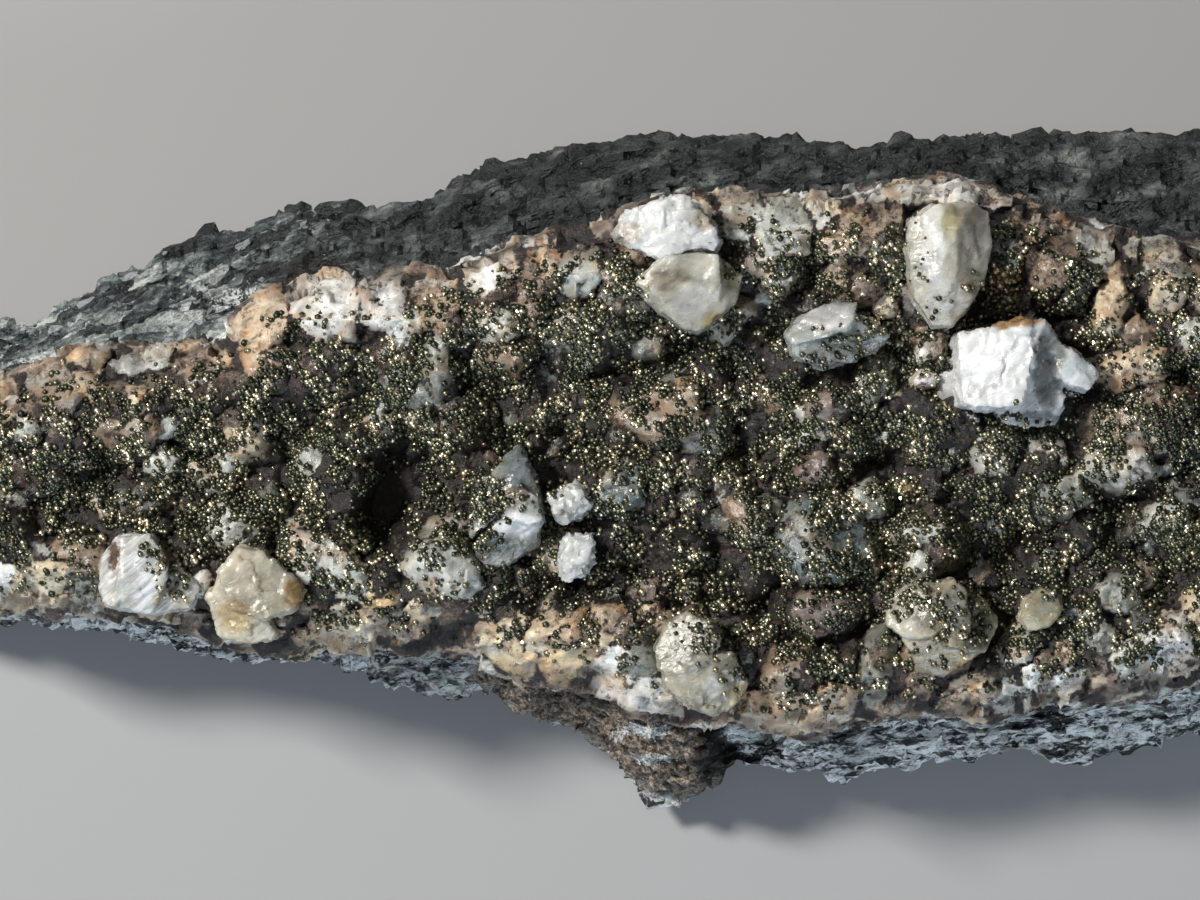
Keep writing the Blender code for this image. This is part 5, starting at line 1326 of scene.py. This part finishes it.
def buildCrystal(name, crystal, number, mats):
    bm = bmesh.new()
    for part in crystal["parts"]:
        prism(bm, part, crystal["centre"])
    bmesh.ops.translate(bm, vec=(-slabCentre[0], -slabCentre[1], 0), verts=bm.verts[:])
    bmesh.ops.scale(bm, vec=(mm, mm, mm), verts=bm.verts[:])
    mesh = bpy.data.meshes.new(name)
    bm.to_mesh(mesh)
    bm.free()
    obj = newObject(name + "_stone", mesh)
    remesh = obj.modifiers.new("fuse", "REMESH")
    remesh.mode = "VOXEL"
    remesh.voxel_size = crystalBuild["voxel"] * mm
    fused = evaluated(obj)
    obj.modifiers.clear()
    obj.data = fused
    bpy.data.meshes.remove(mesh)
    p = pointsOf(fused)
    n = normalsOf(fused)
    x, y, z = p.T
    seed = 100 + number
    rough = crystal["rough"]
    wx, wy = x + 0.25 * roll(x, y, z, 0.8, seed + 5), y + 0.25 * roll(x, y, z, 0.8, seed + 6)
    lift = (0.09 + 2.6 * rough) * chipped(wx, wy, z, 1.7, seed)
    lift = lift + 1.7 * rough * chipped(wx, wy, z, 0.75, seed + 30)
    lift = lift + 0.7 * rough * chipped(wx, wy, z, 0.4, seed + 31)
    sideways = 1 - np.clip(n[:, 2], 0, 1)
    lift = lift + (0.12 + 2.2 * rough) * sideways * chipped(x, y, z * 0.5, 0.9, seed + 15)
    # cleavage: the surface steps a little along three slanting directions
    for k, (a, b, c) in enumerate(((0.55, 0.35, 0.75), (-0.7, 0.45, 0.55), (0.2, -0.8, 0.55))):
        along = (a * x + b * y + c * z) / crystalBuild["step"] / (1 + 0.5 * k)
        along = along + 1.3 * roll(x, y, z, 1.7, seed + 60 + k)
        part = along - np.floor(along)
        lift = lift + rough * 0.8 * (0.5 - part + ease(0.8, 1.0, part))
    terrace = roll(x, y, z, 1.25, seed + 75)
    lift = lift + (0.06 + 1.2 * rough) * (np.floor(4 * terrace) / 4 - terrace + 0.12)
    p = p + n * lift[:, None]
    putPoints(fused, p)
    cx, cy = crystal["centre"]
    base = np.array(crystal["tint"])
    cloud = 1 + 0.12 * roll(x, y, z, 1.1, seed + 90)
    tint = base[None, :] * cloud[:, None]
    wx = x - cx + 0.25 * roll(x, y, z, 0.9, seed + 120)
    wy = y - cy + 0.25 * roll(x, y, z, 0.9, seed + 121)
    for px, py, length, width, colour in crystal["patches"]:
        share = ease(1.25, 0.75, np.hypot((wx - px) / length, (wy - py) / width))[:, None]
        tint = tint * (1 - share) + np.array(colour)[None, :] * share
    # painted shade: the tint darkens towards the crystal's foot, where it rises from the crust
    low = ease(19.2, 17.6, z)
    tint = tint * (1 - 0.45 * low)[:, None]
    coat = np.clip(blobs(x - cx, y - cy, crystal["coat"]) + 0.4 * ease(18.2, 17.2, z), 0, 1)
    facing = ease(-0.1, 0.75, n @ np.array((-0.3, 0.45, 0.84)))
    cover = np.clip(blobs(x - cx, y - cy, crystal["pyrite"]) * facing, 0, 1)
    giveColours(fused, "tint", tint)
    giveValues(fused, "coat", coat)
    giveValues(fused, "pyriteCover", cover)
    fused.materials.clear()
    fused.materials.append(mats[crystal["kind"]])
    fused.shade_smooth()
    fused.set_sharp_from_angle(angle=math.radians(32))
    return obj


# the slab of gneiss

gneissPlan = {
    "spineLeft": (-38.0, -2.6),
    "spineRight": (42.0, -0.8),
    "spacing": 0.28,         # distance between the rock's lines round its edge
    "endRays": 52,           # lines round each end
    "rowsAbove": 54,
    "rowsBelow": 17,
    "seatRim": 0.35,         # flat left free round the crust
    "baseInset": 2.2,        # how far the base lies inside the widest line
    # falls from the crust's foot, 0, to the widest line, 1: share of the way and height
    "backLeft": [(0.0, 14.0), (0.25, 12.2), (0.5, 10.0), (0.75, 8.0), (1.0, 5.6)],
    "backRight": [(0.0, 14.0), (0.14, 9.9), (0.5, 8.9), (0.85, 7.6), (1.0, 5.6)],
    "front": [(0.0, 14.0), (0.25, 12.5), (0.5, 10.5), (0.75, 8.0), (1.0, 5.6)],
    "brownLedge": [(0.0, 13.6), (0.3, 12.3), (0.6, 10.6), (0.85, 8.9), (1.0, 5.6)],
    "notch": [(0.0, 14.0), (0.12, 7.5), (0.5, 6.2), (0.8, 6.0), (1.0, 5.4)],
    # dark spots; the one at (7.2, -18.4), in the notch right of the brown ledge, is a painted shadow
    "sootAndShadowSpots": [(-17.2, 11.0, 3.6, 0.8, 0.9), (7.2, -18.4, 1.2, 2.4, 1.0), (0.6, -15.2, 3.0, 0.5, 0.6)],
    "whiteSpots": [(2.2, -17.0, 0.9, 0.6, 1.0), (3.8, -18.9, 1.0, 0.5, 1.1), (9.0, -16.8, 1.6, 0.5, 0.6),
                   (-13.0, -12.4, 2.6, 0.4, 0.7), (-6.8, -12.4, 0.9, 0.5, 0.8), (-21.0, 9.3, 1.4, 0.8, 0.9),
                   (11.6, -17.2, 1.2, 0.8, 0.9), (-34.5, 5.5, 1.6, 0.6, 0.7)],
}


# how far each line from inside an outline goes before it leaves it
def reachOf(ox, oy, dx, dy, outline):
    best = np.zeros(len(ox))
    for (x0, y0), (x1, y1) in zip(outline, outline[1:] + outline[:1]):
        ex, ey = x1 - x0, y1 - y0
        cross = dx * ey - dy * ex
        cross = np.where(np.abs(cross) < 1e-9, 1e-9, cross)
        t = ((x0 - ox) * ey - (y0 - oy) * ex) / cross
        s = ((x0 - ox) * dy - (y0 - oy) * dx) / cross
        best = np.where((s >= -1e-6) & (s <= 1 + 1e-6) & (t > best), t, best)
    return best


# 1 from b to c, fading out to a and d
def windowed(x, a, b, c, d):
    return ease(a, b, x) * (1 - ease(c, d, x))


def buildGneiss(material):
    plan = gneissPlan
    left, right = np.array(plan["spineLeft"]), np.array(plan["spineRight"])
    straight = int((right[0] - left[0]) / plan["spacing"])
    turn = plan["endRays"]
    t = np.linspace(0, 1, straight)
    spine = left + (right - left) * t[:, None]
    back = [(*p, 90.0) for p in spine]
    rightEnd = [(*right, 90.0 - 180.0 * k / turn) for k in range(1, turn)]
    front = [(*p, -90.0) for p in spine[::-1]]
    leftEnd = [(*left, -90.0 - 180.0 * k / turn) for k in range(1, turn)]
    rays = np.array(back + rightEnd + front + leftEnd)
    ox, oy = rays[:, 0], rays[:, 1]
    dx, dy = np.cos(np.radians(rays[:, 2])), np.sin(np.radians(rays[:, 2]))
    crust = reachOf(ox, oy, dx, dy, crustBorder)
    rock = reachOf(ox, oy, dx, dy, rockOutline)
    edgeX, edgeY = ox + dx * rock, oy + dy * rock
    teeth = roll(edgeX, edgeY, 0 * ox, 3.0, 81)
    rock = rock + 0.35 * np.floor(3 * teeth) / 3 + 0.22 * roll(edgeX, edgeY, 0 * ox, 0.9, 82)
    rock = np.maximum(rock, crust + plan["seatRim"] + 0.5)
    inner = crust + plan["seatRim"] - 1.2
    ex, ey = ox + dx * crust, oy + dy * crust
    toRight = ease(-14.0, -6.0, ex)
    behind = ease(-0.6, 0.6, dy)
    ledge = windowed(ex, -7.5, -4.5, 6.2, 7.4)
    notch = windowed(ex, 6.4, 7.6, 10.2, 11.4)

    def fall(share):
        def run(name):
            s, z = zip(*plan[name])
            return np.interp(share, s, z)
        backZ = run("backLeft") * (1 - toRight) + run("backRight") * toRight
        frontZ = run("front")
        frontZ = frontZ + (run("brownLedge") - frontZ) * ledge
        frontZ = frontZ + (run("notch") - frontZ) * notch
        return frontZ + (backZ - frontZ) * behind

    rings = []
    values = []
    rows = plan["rowsAbove"]
    for k in range(rows + 1):
        share = (k / rows) ** 1.3
        distance = inner + (rock - inner) * share
        x, y = ox + dx * distance, oy + dy * distance
        way = np.clip((distance - crust - plan["seatRim"]) / (rock - crust - plan["seatRim"]), 0, 1)
        z = fall(way)
        # ledges: the rock breaks along its layers
        level = z / 1.5 + 0.9 * roll(x, y, 0 * x, 9.0, 61) + 0.45 * roll(x * 0.45, y, 0 * x, 2.6, 62)
        cut = (np.floor(level) + ease(0.55, 1.0, level - np.floor(level)) - level) * 1.5
        free = ease(0.0, 0.07, way) * (1 - ease(0.86, 1.0, way))
        z = z + cut * 0.6 * free
        thin = z / 0.5 + 0.8 * roll(x * 0.3, y, 0 * x, 1.6, 67)
        z = z + 0.2 * free * (ease(0.6, 1.0, thin - np.floor(thin)) - thin + np.floor(thin))
        z = z + free * (0.35 * roll(x * 0.6, y, z, 1.3, 63) + 0.3 * roll(x * 0.75, y, z, 0.6, 64))
        z = np.minimum(z, seatZ)
        rings.append(np.stack([x, y, z], axis=1))
        values.append(way)
    below = plan["rowsBelow"]
    top = rings[-1][:, 2]
    for k in range(1, below + 1):
        share = k / below
        z = top * (1 - share)
        inset = 0.25 * ease(0.0, 0.5, share) + (plan["baseInset"] - 0.25) * ease(0.45, 1.0, share) ** 1.5
        distance = rock - inset
        x, y = ox + dx * distance, oy + dy * distance
        rough = 0.28 * roll(x, y, z, 0.7, 65) + 0.45 * roll(x, y, z * 1.5, 2.0, 66)
        rough = rough + 0.3 * (np.floor(2.2 * roll(x, y, z, 1.5, 69)) / 2.2)
        rough = rough * ease(0.0, 0.15, share) - 0.15
        rough = rough * (1 - ease(0.9, 1.0, share))
        x, y = x + dx * rough, y + dy * rough
        rings.append(np.stack([x, y, z], axis=1))
        values.append(np.full(len(x), 1.0 + share))
    count = len(ox)
    points = np.concatenate(rings)
    n = np.arange(count)
    m = (n + 1) % count
    quads = []
    for k in range(len(rings) - 1):
        a, b = k * count, (k + 1) * count
        quads.append(np.stack([a + m, a + n, b + n, b + m], axis=1))
    faces = np.concatenate(quads).tolist()
    faces.append([int(v) for v in n])
    last = (len(rings) - 1) * count
    faces.append([int(last + v) for v in reversed(n)])
    rockMesh = meshFrom("gneissSlab", points, faces)
    outwards(rockMesh.data)
    x, y, z = points.T
    free = np.concatenate(values)
    free = ease(0.0, 0.04, free) * (1 - ease(1.9, 2.0, free))
    along, across = 0.91 * x + 0.41 * y, 0.91 * y - 0.41 * x
    grit = 0.55 * chipped(0.45 * along, across, 1.3 * z, 0.9, 71) + 0.12 * roll(x, y, z, 0.5, 72)
    grit = grit + 0.3 * chipped(0.6 * along, across, z, 0.48, 73)
    grit = grit * (1 - 0.4 * windowed(x, -22, -10, 60, 70) * ease(4.0, 9.0, y))
    # it broke along its layers: ledges on the steep sides, deeper below the widest line
    level = z / 1.5 + 0.9 * roll(x * 0.3, y * 0.3, z * 0.3, 2.2, 75)
    level = level + 0.4 * roll(x * 0.5, y * 0.5, z, 1.6, 76)
    layer = level - np.floor(level)
    steep = 1 - np.abs(normalsOf(rockMesh.data)[:, 2])
    shelf = ease(0.0, 0.75, layer) - ease(0.85, 1.0, layer) - 0.5
    shelf = shelf + 1.2 * roll(x * 0.3, y * 0.3, 1.7 * np.floor(level), 2.0, 77)
    broad = 1.1 * roll(x, y, z, 7.0, 78) + 0.8 * chipped(0.6 * x, y, z, 3.6, 79) - 0.2
    low = ease(5.6, 4.2, z)
    middle = windowed(z, 5.4, 7.0, 11.0, 13.4)
    grit = grit + steep * (shelf * (0.5 + 0.4 * low) + broad * low + np.minimum(broad, 0.1) * middle)
    points = points + normalsOf(rockMesh.data) * (grit * free)[:, None]
    points[:, 2] = np.clip(points[:, 2], 0, seatZ)
    putPoints(rockMesh.data, points)
    # limits between kinds of rock wander
    x = x + 2.6 * roll(x, y, z, 4.5, 83) + 1.2 * roll(x, y, z, 1.6, 84)
    high = ease(1.5, 8.5, z + 2.5 * roll(x, y, z, 3.0, 85))
    brown = windowed(x, -8.5, -4.0, 7.0, 9.0) * ease(-10.0, -13.0, y) * high
    brown = np.clip(brown + 0.35 * windowed(x, -20, -12, -6, -3) * ease(-9.0, -12.0, y), 0, 1)
    paleAndLit = windowed(x, -50, -46, -28, -11) * ease(3.0, 6.0, y) * ease(14.5, 9.0, y)
    # the near faces are made lighter too: partly their own light rock, partly painted light on steep faces
    # that the lamps barely reach
    paleAndLit = paleAndLit + 0.9 * windowed(x, 10, 13, 60, 70) * ease(-12.0, -15.0, y)
    paleAndLit = paleAndLit + 0.6 * windowed(x, -50, -46, -10, -6) * ease(-8.0, -9.0, y)
    giveValues(rockMesh.data, "sootAndShadow", np.clip(blobs(x, y, plan["sootAndShadowSpots"]), 0, 1))
    giveValues(rockMesh.data, "weathered", brown)
    giveValues(rockMesh.data, "paleAndLit", np.clip(paleAndLit, 0, 1))
    giveValues(rockMesh.data, "softAndShaded", windowed(x, -25, -9, 60, 70) * ease(4.0, 9.0, y))
    giveValues(rockMesh.data, "layered", ease(-7.0, -11.0, y) * (1 - brown))
    giveValues(rockMesh.data, "whitePatch", np.clip(blobs(x, y, plan["whiteSpots"]), 0, 1))
    rockMesh.data.materials.append(material)
    rockMesh.data.shade_smooth()
    rockMesh.data.set_sharp_from_angle(angle=math.radians(28))
    print("gneiss:", len(faces), "faces")
    return rockMesh


# the pyrite crystals

pyritePieces = {
    "pyriteGrains": {"shape": "cuboctahedron", "count": 9400, "size": 0.34, "seed": 3},
    "pyriteGrainsFine": {"shape": "cuboctahedron", "count": 9400, "size": 0.27, "seed": 11},
    "pyriteOctahedra": {"shape": "octahedron", "count": 13000, "size": 0.27, "seed": 17},
}
grainLift = 0.2      # how far a grain's middle stands off its ground, as a share of its size


def grainMesh(shape, mat):
    bm = bmesh.new()
    if shape == "octahedron":
        tips = ((1, 0, 0), (-1, 0, 0), (0, 1, 0), (0, -1, 0), (0, 0, 1), (0, 0, -1))
        bmesh.ops.convex_hull(bm, input=[bm.verts.new(Vector(tip) * 0.62) for tip in tips])
    else:
        bmesh.ops.create_cube(bm, size=1.0)
        bmesh.ops.bevel(bm, geom=bm.verts[:], offset=0.5, offset_type="OFFSET", segments=1,
                        affect="VERTICES")
        bmesh.ops.remove_doubles(bm, verts=bm.verts[:], dist=0.02)
    mesh = bpy.data.meshes.new(shape)
    bm.to_mesh(mesh)
    bm.free()
    mesh.materials.append(mat)
    if shape == "cuboctahedron":
        mesh.shade_smooth()      # these grains are rounded
    return newObject(shape + "Grain", mesh)


# grains of random turn and size on a surface, thicker where its pyriteCover is high
def scatterTree(name, grain, mat):
    tree = bpy.data.node_groups.new(name, "GeometryNodeTree")
    for label, side, kind in (("Geometry", "INPUT", "Geometry"), ("Density", "INPUT", "Float"),
                              ("Grain Size", "INPUT", "Float"), ("Seed", "INPUT", "Int"),
                              ("Geometry", "OUTPUT", "Geometry")):
        tree.interface.new_socket(label, in_out=side, socket_type="NodeSocket" + kind)
    start = addNode(tree, "NodeGroupInput")
    cover = addNode(tree, "GeometryNodeInputNamedAttribute", {"Name": "pyriteCover"}, data_type="FLOAT")
    density = times(tree, cover["Attribute"], start["Density"])
    inputs = {"Mesh": start["Geometry"], "Density": density, "Seed": start["Seed"]}
    spread = addNode(tree, "GeometryNodeDistributePointsOnFaces", inputs, distribute_method="RANDOM")
    standing = times(tree, start["Grain Size"], grainLift)
    off = addNode(tree, "ShaderNodeVectorMath", {0: spread["Normal"], "Scale": standing}, operation="SCALE")
    raised = addNode(tree, "GeometryNodeSetPosition", {"Geometry": spread["Points"], "Offset": off["Vector"]})
    inputs = {"Max": (math.tau, math.tau, math.tau), "Seed": start["Seed"]}
    turn = addNode(tree, "FunctionNodeRandomValue", inputs, data_type="FLOAT_VECTOR")
    # inputs 2 and 3 are the lowest and highest number, output 1 is the number drawn
    inputs = {2: 0.55, 3: 1.1, "Seed": start["Seed"]}
    grow = addNode(tree, "FunctionNodeRandomValue", inputs, data_type="FLOAT")
    size = times(tree, grow[1], start["Grain Size"])
    shape = addNode(tree, "GeometryNodeObjectInfo", {"Object": grain})["Geometry"]
    inputs = {"Points": raised["Geometry"], "Instance": shape, "Rotation": turn["Value"], "Scale": size}
    placed = addNode(tree, "GeometryNodeInstanceOnPoints", inputs)["Instances"]
    tone = addNode(tree, "FunctionNodeRandomValue", data_type="FLOAT")[1]
    inputs = {"Geometry": placed, "Name": "grainTone", "Value": tone}
    kept = addNode(tree, "GeometryNodeStoreNamedAttribute", inputs, data_type="FLOAT", domain="INSTANCE")
    real = addNode(tree, "GeometryNodeRealizeInstances", {"Geometry": kept["Geometry"]})["Geometry"]
    dressed = addNode(tree, "GeometryNodeSetMaterial", {"Geometry": real, "Material": mat})["Geometry"]
    feed(tree, dressed, tree.nodes.new("NodeGroupOutput").inputs["Geometry"])
    return tree


# a modifier's input is known by its socket's identifier
def setInput(modifier, label, value):
    for item in modifier.node_group.interface.items_tree:
        if item.name == label and item.in_out == "INPUT":
            modifier[item.identifier] = value


# the crust and the crystals as one ground, and each kind of grain scattered over it
def buildPyrite(surfaces, mat):
    parts = [(pointsOf(s.data), s.data) for s in surfaces]
    points = np.concatenate([p for p, _ in parts])
    faces, cover, base = [], [], 0
    for p, mesh in parts:
        for poly in mesh.polygons:
            if len(poly.vertices) <= 4:
                faces.append([base + v for v in poly.vertices])
        values = np.empty(len(p), np.float32)
        mesh.attributes["pyriteCover"].data.foreach_get("value", values)
        cover.append(values)
        base += len(p)
    ground = meshFrom("pyriteGround", points, faces)
    cover = np.concatenate(cover)
    giveValues(ground.data, "pyriteCover", cover)
    areas = np.empty(len(ground.data.polygons))
    ground.data.polygons.foreach_get("area", areas)
    covered = float((areas * np.array([cover[face].mean() for face in faces])).sum())
    made = []
    for name, piece in pyritePieces.items():
        grain = grainMesh(piece["shape"], mat)
        bearer = newObject(name, ground.data.copy())
        modifier = bearer.modifiers.new("scatter", "NODES")
        modifier.node_group = scatterTree(name, grain, mat)
        setInput(modifier, "Density", piece["count"] / covered)
        setInput(modifier, "Grain Size", piece["size"] * mm)
        setInput(modifier, "Seed", piece["seed"])
        bearer.update_tag()
        mesh = evaluated(bearer)
        bearer.modifiers.clear()
        bearer.data = mesh
        bpy.data.objects.remove(grain)
        made.append(bearer)
        print(name, len(mesh.polygons), "faces")
    bpy.data.objects.remove(ground)
    return made


# floor, lights and camera


stagePlan = {
    "floorSize": 1.5,
    "floorColour": (0.33, 0.33, 0.335),
    "floorRoughness": 0.9,
    "airColour": (0.8, 0.88, 1.0),
    "airStrength": 0.035,
    "aim": (0, 0, 0.015),    # point that the lights face
    "lens": 200.0,
    "cameraZ": 0.4175,
}
lights = {
    "key": {"size": 0.08, "energy": 4.2, "place": (-0.32, 0.17, 0.43), "colour": (1.0, 0.97, 0.92)},
    "sky": {"size": 0.30, "energy": 2.3, "place": (0.10, -0.55, 0.34), "colour": (0.74, 0.87, 1.0)},
    "top": {"size": 0.40, "energy": 0.5, "place": (0.0, 0.05, 0.8), "colour": (1.0, 0.99, 0.98)},
}


def buildStage():
    plan = stagePlan
    floorMat, tree = newMaterial("paleFloor")
    giveShader(tree, {"Base Color": plan["floorColour"], "Roughness": plan["floorRoughness"]})
    mesh = bpy.data.meshes.new("floor")
    bm = bmesh.new()
    bmesh.ops.create_grid(bm, x_segments=1, y_segments=1, size=plan["floorSize"])
    bm.to_mesh(mesh)
    bm.free()
    mesh.materials.append(floorMat)
    floor = newObject("floor", mesh)
    world = bpy.data.worlds.new("studio")
    world.use_nodes = True
    air = world.node_tree.nodes["Background"]
    feed(world.node_tree, plan["airColour"], air.inputs["Color"])
    feed(world.node_tree, plan["airStrength"], air.inputs["Strength"])
    bpy.context.scene.world = world
    bpy.context.scene.view_settings.view_transform = "Standard"


def addLight(name, light):
    data = bpy.data.lights.new(name, "AREA")
    data.shape = "SQUARE"
    data.size = light["size"]
    data.energy = light["energy"]
    data.color = light["colour"]
    lamp = newObject(name, data)
    lamp.location = light["place"]
    direction = Vector(stagePlan["aim"]) - Vector(light["place"])
    lamp.rotation_euler = direction.to_track_quat("-Z", "Y").to_euler()


# straight down on the crust, as in the photograph
def buildCamera():
    data = bpy.data.cameras.new("camera")
    data.lens = stagePlan["lens"]
    data.sensor_width = 36.0
    data.clip_start = 0.01
    camera = newObject("camera", data)
    camera.location = (-slabCentre[0] * mm, -slabCentre[1] * mm, stagePlan["cameraZ"])
    bpy.context.scene.camera = camera


materials = {kind: crystalMaterial(kind + "Calcite", look) for kind, look in crystalKinds.items()}
crustMat = crustMaterial()
gneissMat = gneissMaterial()
pyriteMat = pyriteMaterial()
print("materials ready")

slab = buildGneiss(gneissMat)
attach(slab, "root")
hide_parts("gneiss_matrix")

crust = buildCrust()
crust.data.materials.append(crustMat)
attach(crust, "root")
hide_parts("calcite_crust")

stones = []
for number, (name, crystal) in enumerate(singleCrystals.items()):
    stone = buildCrystal(name, crystal, number, materials)
    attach(stone, "root")
    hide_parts(name)
    stones.append(stone)
print("crystals:", sum(len(s.data.polygons) for s in stones), "faces")

grains = buildPyrite([crust] + stones, pyriteMat)
for piece in grains:
    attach(piece, "root")
    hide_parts("pyrite_druse")
print("pyrite ready")

buildStage()
for name, light in lights.items():
    addLight(name, light)
buildCamera()
print("floor, lights and camera ready")
